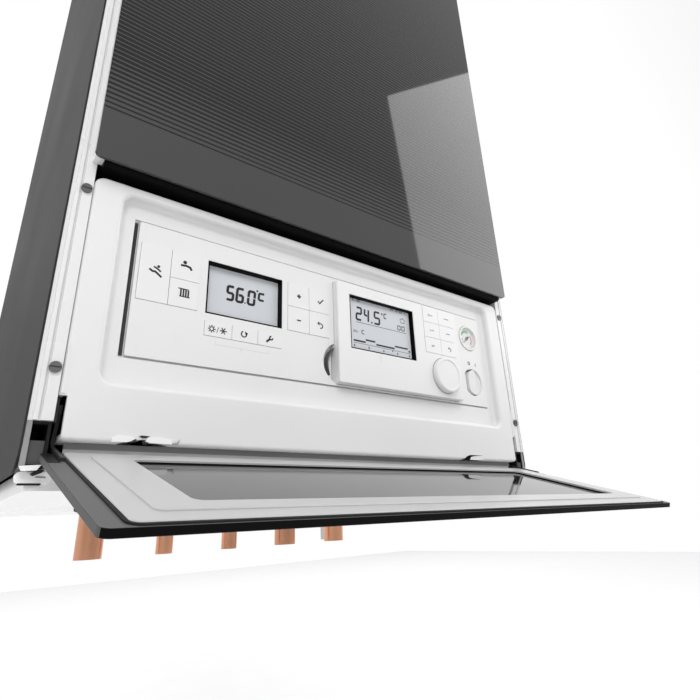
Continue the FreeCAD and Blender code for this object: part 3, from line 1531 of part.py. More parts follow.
# Impeller: back plate, blades in a circle, hub and shaft
wheel = body("Wheel")
disc = sketch(wheel, "XY_Plane")
ring(disc, "0", "0", "wheel_r")
pad(wheel, disc, "wheel_plate")
blade = sketch(wheel, "XY_Plane", "wheel_plate - wheel_tall")
blade_in = "(wheel_r - blade_thick / 2 - blade_long)"
blade_out = "(wheel_r - blade_thick / 2)"
polygon(blade, [
    (blade_in, "-blade_thick / 2"),
    (blade_out, "blade_lean - blade_thick / 2"),
    (blade_out, "blade_lean + blade_thick / 2"),
    (blade_in, "blade_thick / 2"),
])
vane = pad(wheel, blade, "wheel_tall - wheel_plate")
vanes = wheel.newObject("PartDesign::PolarPattern", "Vanes")
vanes.Originals = [vane]
vanes.Axis = (disc, ["N_Axis"])
vanes.Angle = 360
drive(vanes, "Occurrences", "blade_count")
wheel.Tip = vanes
doc.recompute()
shaft = sketch(wheel, "XY_Plane")
ring(shaft, "0", "0", "fan_shaft_r")
pad(wheel, shaft, "wheel_plate + wheel_gap + fan_wall + fan_shaft")
wheel_level = "fan_bottom + fan_tall - fan_wall - wheel_gap - wheel_plate"
node(wheel, "fan_impeller", "fan_x", "-fan_depth", wheel_level)

# Gas valve: block with a mixer stub that meets the fan inlet
node(
    join([
        box(
            "valve_left",
            "valve_right",
            "fan_depth - valve_deep",
            "fan_depth + valve_deep",
            "fan_middle - valve_half",
            "fan_middle + valve_half",
        ),
        rod("x", "inlet_r + mixer_wall", "inlet_end - valve_right", "valve_right", "fan_depth", "fan_middle"),
        rod("z", "coil_r", "coil_tall", "valve_left + coil_at", "fan_depth", "fan_middle + valve_half"),
    ]),
    "gas_valve",
)

# Expansion vessel: flat pressed tank, closed by the back panel
vessel = body("Vessel")
outline = sketch(vessel, "XZ_Plane", "back_sheet")
rounded(outline, "vessel_left", "vessel_right", "vessel_bottom", "vessel_top", "vessel_round")
tank = pad(vessel, outline, "vessel_front - back_sheet")
vessel_plane = number("vessel_front")
bevel(vessel, tank, "vessel_bevel", lambda edge: at_depth(edge, vessel_plane))
thick_edge = "(vessel_bevel + vessel_wall)"
for inset, lid in (("vessel_wall", thick_edge), (thick_edge, "vessel_wall")):
    inside = sketch(vessel, "XZ_Plane", "back_sheet")
    rounded(
        inside,
        "vessel_left + " + inset,
        "vessel_right - " + inset,
        "vessel_bottom + " + inset,
        "vessel_top - " + inset,
        "vessel_round - " + inset,
    )
    pocket(vessel, inside, "vessel_front - back_sheet - " + lid, forward=True)
node(vessel, "expansion_vessel")

# Hydraulic block that carries pump, plate heat exchanger and connections
box_node(
    "hydraulic_block",
    "-block_half",
    "block_half",
    "block_back",
    "block_front",
    "block_bottom",
    "block_top",
)

# Pump: upright body, volute and motor
pump_middle = "(block_top + pump_top) / 2"
node(
    join([
        rod("z", "pump_body_r", "pump_top - block_top", "pump_x", "pump_depth", "block_top"),
        rod("y", "volute_r", "volute_tall", "pump_x", "pump_depth - volute_tall / 2", pump_middle),
        rod("y", "pump_motor_r", "pump_motor", "pump_x", "pump_depth + volute_tall / 2", pump_middle),
    ]),
    "circulation_pump",
)

# Plate heat exchanger: ribbed stack on the hydraulic block
stack = [box("plate_left", "plate_right", "plate_back", "plate_front", "block_top", "plate_top")]
for rib in range(1, int(number("plate_count")) + 1):
    start = "plate_left + plate_pitch * %d" % rib
    stack.append(
        box(
            start,
            start + " + plate_rib",
            "plate_back - plate_proud",
            "plate_front + plate_proud",
            "block_top",
            "plate_top + plate_proud",
        )
    )
stack_hollow = box(
    "plate_left + plate_wall",
    "plate_right - plate_wall",
    "plate_back + plate_wall",
    "plate_front - plate_wall",
    "block_top - plate_wall",
    "plate_top - plate_wall",
)
node(less(join(stack), [stack_hollow]), "plate_heat_exchanger")

# Condensate trap standing on the bottom tray, with its outlet below
trap_foot = "(tray_low + back_sheet)"
node(
    join([
        rod("z", "trap_r", "trap_top - " + trap_foot, "trap_x", "trap_depth", trap_foot),
        rod("z", "trap_out_r", trap_foot + " - stub_low", "trap_x", "trap_depth", "stub_low"),
    ]),
    "condensate_trap",
)


def bent_pipe(plane, offset, points, centre, start):
    """Pipe swept along a path of straight runs, starting upwards."""
    owner = body("Pipe")
    path = sketch(owner, plane, offset)
    polygon(path, points, closed=False)
    end = sketch(owner, "XY_Plane", start)
    ring(end, centre[0], centre[1], "pipe_r")
    swept = owner.newObject("PartDesign::AdditivePipe", "Sweep")
    swept.Profile = end
    swept.Spine = (path, [])
    swept.Transition = "Right corner"
    doc.recompute()
    return owner


# Internal pipes: gas up to the valve, flow down from and return up to the heat exchanger
gas_x = "(-2 * stub_pitch)"
valve_front = "(fan_depth + valve_deep)"
gas_pipe = bent_pipe(
    "YZ_Plane",
    gas_x,
    [
        ("-stub_depth", "block_top"),
        ("-stub_depth", "gas_rise"),
        ("-gas_front", "gas_rise"),
        ("-gas_front", "fan_middle"),
        ("-" + valve_front, "fan_middle"),
    ],
    (gas_x, "-stub_depth"),
    "block_top",
)
return_pipe = bent_pipe(
    "XZ_Plane",
    "pump_depth",
    [
        ("pump_x", "pump_top"),
        ("pump_x", "return_height"),
        ("exchanger_right", "return_height"),
    ],
    ("pump_x", "-pump_depth"),
    "pump_top",
)
flow_pipe = rod("z", "pipe_r", "exchanger_bottom - block_top", "flow_x", "flow_depth", "block_top")
node(group([gas_pipe, return_pipe, flow_pipe]), "internal_pipes")

# Pipe stubs under the boiler
stubs = []
for step, radius in STUBS:
    stubs.append(
        rod("z", radius, "block_bottom - stub_low", "%d * stub_pitch" % step, "stub_depth", "stub_low")
    )
node(group(stubs), "pipe_stubs")

# Flue duct from the heat exchanger's side up to the top panel
duct_low = "(exchanger_bottom + flue_rise)"
node(
    less(
        join([
            rod(
                "z",
                "flue_r",
                "casing_top + top_sheet - %s + flue_sump" % duct_low,
                "flue_x",
                "flue_depth",
                duct_low + " - flue_sump",
            ),
            rod("x", "branch_r", "flue_x - exchanger_right", "exchanger_right", "flue_depth", duct_low),
        ]),
        [rod("z", "flue_r - flue_wall", "casing_top", "flue_x", "flue_depth", duct_low)],
    ),
    "flue_duct",
)

# Flue adapter on the top panel: air pipe socket, flange and inner flue pipe on a web
collar_low = "(casing_top + top_sheet)"
collar = less(
    join([
        rod("z", "air_r + collar_lap", "collar_flange", "flue_x", "flue_depth", collar_low),
        rod("z", "air_r", "collar_tall", "flue_x", "flue_depth", collar_low),
    ]),
    [rod("z", "air_r - collar_wall", "collar_tall + 2", "flue_x", "flue_depth", collar_low + " - 1")],
)
inner = less(
    join([
        rod("z", "flue_r + collar_wall", "collar_tall", "flue_x", "flue_depth", collar_low),
        box(
            "flue_x - air_r + collar_wall / 2",
            "flue_x + air_r - collar_wall / 2",
            "flue_depth - collar_wall",
            "flue_depth + collar_wall",
            collar_low,
            collar_low + " + collar_web",
        ),
    ]),
    [rod("z", "flue_r", "collar_tall + 2", "flue_x", "flue_depth", collar_low + " - 1")],
)
node(join([collar, inner]), "flue_adapter")

doc.recompute()
for thing in doc.Objects:
    if "Invalid" in thing.State or "Error" in thing.State:
        raise RuntimeError("%s is not valid" % thing.Label)
os.makedirs("parts", exist_ok=True)
for thing in NODES:
    if thing.Shape.isNull() or not thing.Shape.isValid():
        raise RuntimeError("%s has no valid shape" % thing.Label)
    thing.Shape.exportStep("parts/%s.step" % thing.Label)
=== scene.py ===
import math

import bmesh
import bpy
from mathutils import Matrix, Vector


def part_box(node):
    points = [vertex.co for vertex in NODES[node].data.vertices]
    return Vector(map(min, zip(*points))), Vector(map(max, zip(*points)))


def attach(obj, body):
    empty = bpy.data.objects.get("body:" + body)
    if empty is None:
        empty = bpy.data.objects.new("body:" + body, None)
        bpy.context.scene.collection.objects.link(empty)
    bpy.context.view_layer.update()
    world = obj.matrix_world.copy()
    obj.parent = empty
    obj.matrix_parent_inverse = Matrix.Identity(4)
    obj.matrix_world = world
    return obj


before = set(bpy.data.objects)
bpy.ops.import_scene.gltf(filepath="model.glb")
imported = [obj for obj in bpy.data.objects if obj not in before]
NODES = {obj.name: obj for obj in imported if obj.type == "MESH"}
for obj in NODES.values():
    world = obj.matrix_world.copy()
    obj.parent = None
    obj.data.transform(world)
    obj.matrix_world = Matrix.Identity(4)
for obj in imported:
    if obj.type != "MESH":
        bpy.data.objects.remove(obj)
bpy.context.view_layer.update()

# Main places of the boiler in millimetres: widths from the middle, depths from the wall, heights
# above the lower edge of the casing. The row frame has its origin on the wall between the bolts.
HANG = 775.0
BORDER = 343.0
INSERT = 336.5
INSERT_SEAT = 333.0
KEY_FRONT = 336.9
SOFT_FRONT = 343.4
GLASS_LOW = 191.5
TRAY_FRONT = 334.0
SINK = 0.02
INK = 0.07

# The open flap: its pivot line, and the sizes of its plate measured from that line
PIVOT_DEPTH = 332.0
PIVOT_HEIGHT = 32.7
OPEN = math.radians(106.5)
PLATE_BACK = 19.8
PLATE_FRONT = 23.0
PLATE = (-211.0, 211.0, 18.3, 156.3)
FRAME = (-201.0, 201.0, 19.8, 153.8)
WELL = (-171.0, 171.0, 38.3, 130.3)
PLATE_CORNER = 4.0
WELL_CORNER = 5.0


def spot(x, depth, z):
    """Row frame point of a width, a depth from the wall and a height, in millimetres."""
    return Vector((x / 1000.0, -depth / 1000.0, (z - HANG) / 1000.0))


def flap_spot(x, forward, above):
    """Row frame point of the open flap; forward and above are measured on the closed flap."""
    depth = PIVOT_DEPTH + forward * math.cos(OPEN) + above * math.sin(OPEN)
    height = PIVOT_HEIGHT - forward * math.sin(OPEN) + above * math.cos(OPEN)
    return spot(x, depth, height)


# Materials

def new_material(name, colour, roughness, metallic=0.0, coat=0.0, specular=0.5):
    """Principled material with the plain numbers set on the shader's own sockets."""
    material = bpy.data.materials.new(name)
    material.use_nodes = True
    shader = material.node_tree.nodes["Principled BSDF"]
    shader.inputs["Base Color"].default_value = (*colour, 1.0)
    shader.inputs["Roughness"].default_value = roughness
    shader.inputs["Metallic"].default_value = metallic
    shader.inputs["Coat Weight"].default_value = coat
    shader.inputs["Coat Roughness"].default_value = 0.08
    shader.inputs["Specular IOR Level"].default_value = specular
    return material


def add_node(material, kind, x, y):
    node = material.node_tree.nodes.new(kind)
    node.location = (x, y)
    return node


def wire(material, start, end):
    material.node_tree.links.new(start, end)


def noise(material, scale, detail):
    """Noise in the row frame."""
    coords = add_node(material, "ShaderNodeTexCoord", -900, 0)
    texture = add_node(material, "ShaderNodeTexNoise", -700, 0)
    texture.inputs["Scale"].default_value = scale
    texture.inputs["Detail"].default_value = detail
    wire(material, coords.outputs["Object"], texture.inputs["Vector"])
    return texture.outputs["Fac"]


def ramp(material, source, low, high):
    """Colour between two colours along a factor."""
    blend = add_node(material, "ShaderNodeValToRGB", -400, 200)
    blend.color_ramp.elements[0].position = 0.35
    blend.color_ramp.elements[1].position = 0.65
    blend.color_ramp.elements[0].color = (*low, 1.0)
    blend.color_ramp.elements[1].color = (*high, 1.0)
    wire(material, source, blend.inputs["Fac"])
    return blend.outputs["Color"]


def span(material, source, low, high, start=0.0, end=1.0):
    """Number between two limits while a factor goes from start to end."""
    reach = add_node(material, "ShaderNodeMapRange", -400, -100)
    reach.inputs["From Min"].default_value = start
    reach.inputs["From Max"].default_value = end
    reach.inputs["To Min"].default_value = low
    reach.inputs["To Max"].default_value = high
    wire(material, source, reach.inputs["Value"])
    return reach.outputs["Result"]


def maths(material, operation, first, second):
    """Result of an operation on a socket and a socket or number."""
    node = add_node(material, "ShaderNodeMath", -250, 600)
    node.operation = operation
    wire(material, first, node.inputs[0])
    if isinstance(second, float):
        node.inputs[1].default_value = second
    else:
        wire(material, second, node.inputs[1])
    return node.outputs[0]


def bump(material, source, height):
    """Fine relief of a finish, its height in metres."""
    relief = add_node(material, "ShaderNodeBump", -300, -350)
    relief.inputs["Strength"].default_value = 0.6
    relief.inputs["Distance"].default_value = height
    wire(material, source, relief.inputs["Height"])
    shader = material.node_tree.nodes["Principled BSDF"]
    wire(material, relief.outputs["Normal"], shader.inputs["Normal"])


def grey(value):
    return (value, value, value)


def shade(colour, factor):
    return tuple(channel * factor for channel in colour)


def finish(name, colour, roughness, scale, relief, spread=0.05, **more):
    """Material with slight cloudy colour, uneven gloss and a fine grain."""
    material = new_material(name, colour, roughness, **more)
    shader = material.node_tree.nodes["Principled BSDF"]
    cloud = noise(material, 9.0, 3.0)
    tint = ramp(material, cloud, shade(colour, 1.0 - spread), shade(colour, 1.0 + spread / 2))
    wire(material, tint, shader.inputs["Base Color"])
    gloss = span(material, cloud, roughness - 0.08, roughness + 0.08)
    wire(material, gloss, shader.inputs["Roughness"])
    grain = noise(material, scale, 2.0)
    bump(material, grain, relief)
    return material


white_plastic = finish("white_plastic", grey(0.78), 0.34, 2600.0, 0.000012, spread=0.012)
key_plastic = finish("key_plastic", grey(0.79), 0.38, 3200.0, 0.00001, spread=0.01)
module_plastic = finish("module_plastic", grey(0.80), 0.3, 2600.0, 0.00001, spread=0.01)
white_paint = finish("white_paint", grey(0.78), 0.28, 900.0, 0.00002, spread=0.015, coat=0.2)
# A lighter copy of the white plastic: painted light for small white parts that lie in shade near the
# flap.
lightened_white_plastic = finish("lightened_white_plastic", grey(0.9), 0.3, 2600.0, 0.00001, spread=0.01)
dark_paint = finish("dark_paint", grey(0.037), 0.58, 1100.0, 0.00003, specular=0.06)
strip_grey = finish("strip_grey", grey(0.3), 0.5, 1500.0, 0.00002, spread=0.04)
black_plastic = finish("black_plastic", grey(0.012), 0.5, 1800.0, 0.00002, spread=0.2, specular=0.2)
trim_black = finish("trim_black", grey(0.003), 0.5, 1800.0, 0.00002, spread=0.2, specular=0.05)
black_paint = finish("black_paint", grey(0.03), 0.45, 900.0, 0.00002, spread=0.15, specular=0.3)
grey_plastic = finish("grey_plastic", grey(0.52), 0.3, 2200.0, 0.00001, spread=0.02)
apron_grey = finish("apron_grey", grey(0.5), 0.6, 1500.0, 0.00003, spread=0.08, specular=0.2)
# Dark grey of the band along the apron's top: painted shade under the fascia.
shade_band_grey = finish("shade_band_grey", grey(0.2), 0.7, 1500.0, 0.00003, spread=0.1, specular=0.2)
light_grey = finish("light_grey", grey(0.52), 0.5, 2000.0, 0.00002, spread=0.03)
zinc_steel = finish("zinc_steel", grey(0.55), 0.34, 160.0, 0.00002, spread=0.18, metallic=1.0)
screw_steel = finish("screw_steel", grey(0.17), 0.4, 700.0, 0.00002, spread=0.3, metallic=0.4)
cast_metal = finish("cast_metal", grey(0.58), 0.5, 420.0, 0.0002, spread=0.1, metallic=1.0)
red_paint = finish("red_paint", (0.33, 0.02, 0.018), 0.3, 700.0, 0.00004, spread=0.1, coat=0.3)
copper = finish("copper", (0.72, 0.36, 0.22), 0.28, 300.0, 0.00002, spread=0.2, metallic=1.0)
rubber = finish("rubber", grey(0.02), 0.7, 1500.0, 0.00003, spread=0.2, specular=0.2)
# Near black for the strip in the gap at the insert's left end: painted shade.
gap_shade_dark = finish("gap_shade_dark", grey(0.06), 0.8, 2400.0, 0.00008, spread=0.2, specular=0.1)
block_grey = finish("block_grey", grey(0.09), 0.6, 1500.0, 0.00003, spread=0.1, specular=0.2)
plate_print = finish("plate_print", grey(0.12), 0.5, 1600.0, 0.00001, spread=0.06, specular=0.2)
ink = finish("ink", grey(0.012), 0.5, 3000.0, 0.000004, spread=0.1)
soft_ink = finish("soft_ink", grey(0.24), 0.5, 3000.0, 0.000004, spread=0.1)
faint_ink = finish("faint_ink", grey(0.66), 0.4, 3000.0, 0.000004, spread=0.03)
lcd_back = finish("lcd_back", (0.61, 0.63, 0.66), 0.32, 3400.0, 0.000004, spread=0.03)
lcd_ink = finish("lcd_ink", (0.010, 0.011, 0.013), 0.35, 3000.0, 0.000004, spread=0.1)
lcd_pale = finish("lcd_pale", (0.10, 0.105, 0.115), 0.35, 3000.0, 0.000004, spread=0.1)
dial_white = finish("dial_white", (0.80, 0.80, 0.79), 0.45, 2600.0, 0.000006, spread=0.01)
dial_green = finish("dial_green", (0.10, 0.40, 0.17), 0.45, 2600.0, 0.000006, spread=0.06)
dial_red = finish("dial_red", (0.66, 0.22, 0.22), 0.45, 2600.0, 0.000006, spread=0.06)

lens_clear = new_material("lens_clear", (0.9, 0.92, 0.92), 0.04)
lens_clear.node_tree.nodes["Principled BSDF"].inputs["Alpha"].default_value = 0.1
lens_relief = noise(lens_clear, 60.0, 2.0)
bump(lens_clear, lens_relief, 0.00001)

# Printed lines on the upper glass: level lines that grow wider with the height
LINES_FROM = 38.5
LINES_TO = 90.0
LINE_PITCH = 4.0


def glass_material(name, base, lined):
    """Dark printed glass, with level lines above a plain lower band where it is lined."""
    material = new_material(name, base, 0.03)
    shader = material.node_tree.nodes["Principled BSDF"]
    cloud = noise(material, 4.0, 2.0)
    tint = ramp(material, cloud, shade(base, 0.94), shade(base, 1.06))
    if lined:
        coords = add_node(material, "ShaderNodeTexCoord", -1100, 600)
        split = add_node(material, "ShaderNodeSeparateXYZ", -900, 600)
        wire(material, coords.outputs["Object"], split.inputs["Vector"])
        start = (GLASS_LOW + LINES_FROM - HANG) / 1000.0
        lift = maths(material, "SUBTRACT", split.outputs["Z"], start)
        steps = maths(material, "DIVIDE", lift, LINE_PITCH / 1000.0)
        part = maths(material, "FRACT", steps, 0.0)
        share = span(material, lift, 0.34, 0.76, 0.0, (LINES_TO - LINES_FROM) / 1000.0)
        line = maths(material, "LESS_THAN", part, share)
        above = maths(material, "GREATER_THAN", lift, 0.0)
        mix = add_node(material, "ShaderNodeMix", 0, 400)
        mix.data_type = "RGBA"
        wire(material, maths(material, "MULTIPLY", line, above), mix.inputs["Factor"])
        wire(material, tint, mix.inputs["A"])
        mix.inputs["B"].default_value = (*shade(base, 0.12), 1.0)
        tint = mix.outputs["Result"]
    wire(material, tint, shader.inputs["Base Color"])
    flow = noise(material, 3.0, 1.0)
    bump(material, flow, 0.00002)
    return material


front_glass = glass_material("front_glass", grey(0.054), True)
flap_glass = glass_material("flap_glass", grey(0.03), False)

KEYS = ["sweep", "tap", "radiator", "season", "restart", "service", "plus", "accept", "minus", "back"]
LOOKS = {
    white_plastic: ["control_fascia", "control_insert", "power_rocker", "gauge_case"],
    key_plastic: ["key_" + name for name in KEYS],
    module_plastic: ["module_housing", "module_knob"] + ["module_key_%d" % i for i in range(1, 7)],
    white_paint: ["bottom_tray", "left_front_rail", "right_front_rail", "front_cover"],
    dark_paint: ["left_side_panel", "right_side_panel", "top_panel"],
    black_plastic: ["corner_guards", "module_dock", "control_box", "fan_impeller", "hydraulic_block"],
    trim_black: ["cover_lower_trim", "display_frame", "module_display"],
    black_paint: ["flap_arms", "hinge_brackets"],
    grey_plastic: ["flap_frame"],
    light_grey: ["condensate_trap", "flue_duct", "flue_adapter"],
    zinc_steel: ["wall_bracket", "back_panel", "circulation_pump", "plate_heat_exchanger"],
    screw_steel: ["rail_screws"],
    cast_metal: ["heat_exchanger", "burner_hood", "fan_housing", "gas_valve"],
    red_paint: ["expansion_vessel"],
    copper: ["internal_pipes", "pipe_stubs"],
    front_glass: ["front_glass"],
    flap_glass: ["flap_glass"],
    lens_clear: ["gauge_lens"],
    lcd_back: ["boiler_display"],
    ink: ["gauge_needle"],
}
for material, names in LOOKS.items():
    for name in names:
        NODES[name].data.materials.clear()
        NODES[name].data.materials.append(material)


# Flat shapes, drawn in millimetres: a shape is a list of points, or a pair of edges for a ring

def stroke(points, width, closed=False):
    """Line of even width with mitred corners; a closed line gives a ring."""
    count = len(points)
    left, right = [], []
    for i, point in enumerate(points):
        here = Vector(point)
        before = Vector(points[i - 1]) if i or closed else None
        after = Vector(points[(i + 1) % count]) if i < count - 1 or closed else None
        first = (here - before).normalized() if before is not None else (after - here).normalized()
        second = (after - here).normalized() if after is not None else first
        normal = Vector((-first.y - second.y, first.x + second.x))
        normal.normalize()
        reach = width / 2 / max(0.35, normal.dot(Vector((-first.y, first.x))))
        left.append(here + normal * reach)
        right.append(here - normal * reach)
    if closed:
        return [(left, right)]
    return [left + right[::-1]]


def eased(points, cut):
    """Line whose inner corners are cut off."""
    result = [Vector(points[0])]
    for before, here, after in zip(points, points[1:], points[2:]):
        corner = Vector(here)
        result.append(corner + (Vector(before) - corner).normalized() * cut)
        result.append(corner + (Vector(after) - corner).normalized() * cut)
    return result + [Vector(points[-1])]


def bar(x0, y0, x1, y1):
    return [[Vector((x0, y0)), Vector((x1, y0)), Vector((x1, y1)), Vector((x0, y1))]]


def polar(x, y, radius, angle):
    """Point at a radius and an angle in degrees from a middle."""
    turn = math.radians(angle)
    return Vector((x + radius * math.cos(turn), y + radius * math.sin(turn)))


def arc(x, y, radius, start, end, steps=14):
    """Points on a circle between two angles in degrees."""
    return [polar(x, y, radius, start + (end - start) * i / steps) for i in range(steps + 1)]


def disc(x, y, radius, sides=20):
    return [arc(x, y, radius, 0.0, 360.0, sides)[:-1]]


def circle(x, y, radius, width, sides=24):
    """Ring of even width."""
    return stroke(disc(x, y, radius, sides)[0], width, closed=True)


def spokes(count, inner, outer, width):
    """Short lines that point away from a middle."""
    shapes = []
    for i in range(count):
        angle = 360.0 * i / count
        shapes += stroke([polar(0.0, 0.0, inner, angle), polar(0.0, 0.0, outer, angle)], width)
    return shapes


def rounded(limits, grow, corner, steps=5):
    """Outline of a rectangle with round corners, grown by a margin."""
    radius = max(0.2, corner + grow)
    left = limits[0] - grow + radius
    right = limits[1] + grow - radius
    low = limits[2] - grow + radius
    high = limits[3] + grow - radius
    points = []
    for i, (x, y) in enumerate([(right, high), (left, high), (left, low), (right, low)]):
        points += arc(x, y, radius, 90.0 * i, 90.0 * i + 90.0, steps)
    return points


def moved(points, x, y, scale):
    return [Vector((x + p[0] * scale, y + p[1] * scale)) for p in points]


def shifted(shapes, x, y, scale=1.0):
    return [
        tuple(moved(edge, x, y, scale) for edge in shape)
        if isinstance(shape, tuple) else moved(shape, x, y, scale)
        for shape in shapes
    ]


# Solids from flat shapes

def solid(mesh, shape, place, low, high):
    """Add a shape between two levels; place turns a drawn point and a level into the row frame."""
    edges = shape if isinstance(shape, tuple) else (shape,)
    tops = [[mesh.verts.new(place(p[0], p[1], high)) for p in edge] for edge in edges]
    bottoms = [[mesh.verts.new(place(p[0], p[1], low)) for p in edge] for edge in edges]
    count = len(edges[0])
    for i in range(count):
        j = (i + 1) % count
        for top, bottom in zip(tops, bottoms):
            mesh.faces.new((top[i], top[j], bottom[j], bottom[i]))
        if len(edges) == 2:
            mesh.faces.new((tops[0][i], tops[0][j], tops[1][j], tops[1][i]))
            mesh.faces.new((bottoms[0][i], bottoms[0][j], bottoms[1][j], bottoms[1][i]))
    if len(edges) == 1:
        mesh.faces.new(tops[0])
        mesh.faces.new(bottoms[0])


def turned(mesh, profile, place, sides=24, looped=False):
    """Add a solid of revolution from radii and rises; a looped profile gives a ring."""
    rows = []
    for radius, rise in profile:
        ring = disc(0.0, 0.0, radius, sides)[0]
        rows.append([mesh.verts.new(place(p.x, p.y, rise)) for p in ring])
    pairs = list(zip(rows, rows[1:]))
    if looped:
        pairs.append((rows[-1], rows[0]))
    else:
        mesh.faces.new(rows[0])
        mesh.faces.new(rows[-1])
    for first, second in pairs:
        for i in range(sides):
            j = (i + 1) % sides
            mesh.faces.new((first[i], first[j], second[j], second[i]))


def piece_from(mesh, name, material, body):
    """Turn a bmesh into a piece that rides on a body."""
    mesh.normal_update()
    bmesh.ops.triangulate(mesh, faces=[face for face in mesh.faces if len(face.verts) > 4])
    bmesh.ops.recalc_face_normals(mesh, faces=mesh.faces)
    data = bpy.data.meshes.new(name)
    mesh.to_mesh(data)
    mesh.free()
    data.materials.append(material)
    piece = bpy.data.objects.new(name, data)
    bpy.context.scene.collection.objects.link(piece)
    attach(piece, body)
    return piece


def built(name, shapes, place, low, high, material, body="casing"):
    """Piece of flat shapes between two levels."""
    mesh = bmesh.new()
    for shape in shapes:
        solid(mesh, shape, place, low, high)
    return piece_from(mesh, name, material, body)


def facing(x, z, depth):
    """Drawing on a face that looks to the front, its level the depth from the wall."""
    return spot(x, depth, z)


def on_flap(x, above, forward):
    """Drawing on the flap's plate, its level the distance in front of the pivot line."""
    return flap_spot(x, forward, above)


def printed(name, shapes, depth, material, body="casing", thick=INK):
    """Thin print on a face that looks to the front."""
    return built(name, shapes, facing, depth - SINK, depth + thick, material, body)


# Marks on the keys

def return_arrow():
    """Arrow that turns back to the left."""
    loop = arc(0.2, -0.5, 1.9, -110, 90) + [Vector((-1.3, 1.4))]
    return stroke(loop, 0.95) + [[(-3.2, 1.4), (-1.1, -0.5), (-1.1, 3.3)]]


def turning_arrow():
    """Arrow round a middle."""
    return stroke(arc(0.0, 0.0, 2.1, 110, 395, 20), 0.9) + [[(3.2, 0.9), (1.3, -0.5), (0.6, 2.3)]]


def radiator():
    """Four columns between two rails."""
    shapes = bar(-4.2, 2.4, 3.1, 3.2) + bar(-3.1, -3.2, 4.2, -2.4)
    for x in (-2.2, -0.4, 1.3, 3.0):
        shapes += bar(x - 0.58, -2.38, x + 0.58, 2.38)
    return shapes


def season():
    """Sun, stroke and snow star."""
    sun = circle(0.0, 0.0, 1.4, 0.7, 18) + spokes(8, 1.95, 2.8, 0.8)
    star = spokes(6, 0.5, 2.6, 0.75) + disc(0.0, 0.0, 0.48, 12)
    return shifted(sun, -4.3, 0.1) + stroke([(-0.5, -2.3), (0.7, 2.1)], 0.4) + shifted(star, 4.3, -0.1)


sweep = stroke([(-4.2, 0.8), (-1.9, -0.5), (-0.3, -0.3), (1.9, -1.8), (4.2, -3.6)], 1.45)
sweep += stroke([(-1.4, 3.1), (0.5, 2.3), (1.9, 1.5), (3.4, 0.3)], 1.2) + disc(1.7, 3.8, 1.0)
tap = disc(-1.1, 2.5, 1.35) + stroke([(-3.9, -0.3), (0.0, 0.1), (2.8, -0.6), (3.9, -2.6)], 1.6)
wrench = stroke([(-2.6, -2.2), (0.7, 0.7)], 1.6) + stroke(arc(1.4, 1.3, 1.3, 85, 365, 12), 1.1)
plus = bar(-1.8, -0.7, 1.8, 0.7) + bar(-0.7, 0.7, 0.7, 1.8) + bar(-0.7, -1.8, 0.7, -0.7)
MARKS = {
    "sweep": (sweep, -161.5, 130.0),
    "tap": (tap, -141.2, 139.5),
    "radiator": (radiator(), -141.3, 118.9),
    "season": (season(), -115.7, 96.9),
    "restart": (turning_arrow(), -95.5, 97.5),
    "service": (wrench, -74.7, 97.2),
    "plus": (plus, -48.7, 138.4),
    "accept": (stroke([(-2.6, 0.1), (-0.8, -1.7), (2.8, 2.2)], 1.1), -27.8, 138.5),
    "minus": (bar(-1.8, -0.6, 1.8, 0.6), -48.8, 117.7),
    "back": (return_arrow(), -28.2, 117.6),
}
for name, (shapes, x, z) in MARKS.items():
    printed("mark_" + name, shifted(shapes, x, z), KEY_FRONT, ink, body="key_%s_body" % name)

ring_and_bars = circle(-2.0, 0.0, 0.9, 0.6, 14) + bar(-0.4, -0.5, 1.0, 0.5) + bar(1.5, -0.5, 3.0, 0.5)
three_bars = bar(-3.4, -0.5, -1.6, 0.5) + bar(-1.0, -0.5, 0.8, 0.5) + bar(1.4, -0.5, 3.2, 0.5)
bar_and_roof = bar(-2.8, -0.5, -1.2, 0.5) + stroke([(-0.4, -0.6), (1.0, 0.7), (2.4, -0.6)], 0.7)
two_rows = bar(-2.2, 0.25, 2.0, 0.85) + bar(-2.2, -0.85, 0.7, -0.25)
SOFT_MARKS = [
    (ring_and_bars, 97.1, 150.7, soft_ink),
    (three_bars, 120.1, 151.2, soft_ink),
    (bar_and_roof, 97.8, 135.3, soft_ink),
    (bar(-2.4, -0.5, 2.2, 0.5), 120.5, 135.5, soft_ink),
    (two_rows, 97.6, 119.6, soft_ink),
    (shifted(return_arrow(), 0.4, 0.0, 0.72), 120.2, 119.8, ink),
]
for i, (shapes, x, z, material) in enumerate(SOFT_MARKS, 1):
    key_body = "module_key_%d_body" % i
    printed("mark_soft_%d" % i, shifted(shapes, x, z), SOFT_FRONT, material, body=key_body)

# Faint bracket printed under the key row, marks above the power rocker
bracket = stroke([(-116.7, 88.6), (-116.7, 86.2), (-75.0, 86.2), (-75.0, 88.6)], 0.35)
printed("row_bracket", bracket + bar(-96.9, 83.6, -96.5, 86.0), INSERT, faint_ink)
printed("rocker_marks", circle(155.8, 112.9, 1.45, 0.8) + bar(165.4, 110.7, 166.2, 114.0), INSERT, ink)


# Displays: joined figures and a day line on grey plates

FIGURES = {
    "0": [[(0, 0.53), (0, 1), (1, 1), (1, 0.53)], [(0, 0.47), (0, 0), (1, 0), (1, 0.47)]],
    "1": [[(1, 1), (1, 0)]],
    "2": [[(0, 1), (1, 1), (1, 0.5), (0, 0.5), (0, 0), (1, 0)]],
    "3": [[(0, 1), (1, 1), (1, 0), (0, 0)], [(0.1, 0.5), (0.7, 0.5)]],
    "4": [[(0, 1), (0, 0.5), (0.7, 0.5)], [(1, 1), (1, 0)]],
    "5": [[(1, 1), (0, 1), (0, 0.5), (1, 0.5), (1, 0), (0, 0)]],
    "6": [[(1, 1), (0, 1), (0, 0), (1, 0), (1, 0.5), (0.3, 0.5)]],
    "C": [[(1, 1), (0, 1), (0, 0), (1, 0)]],
}
LEAN = 0.07


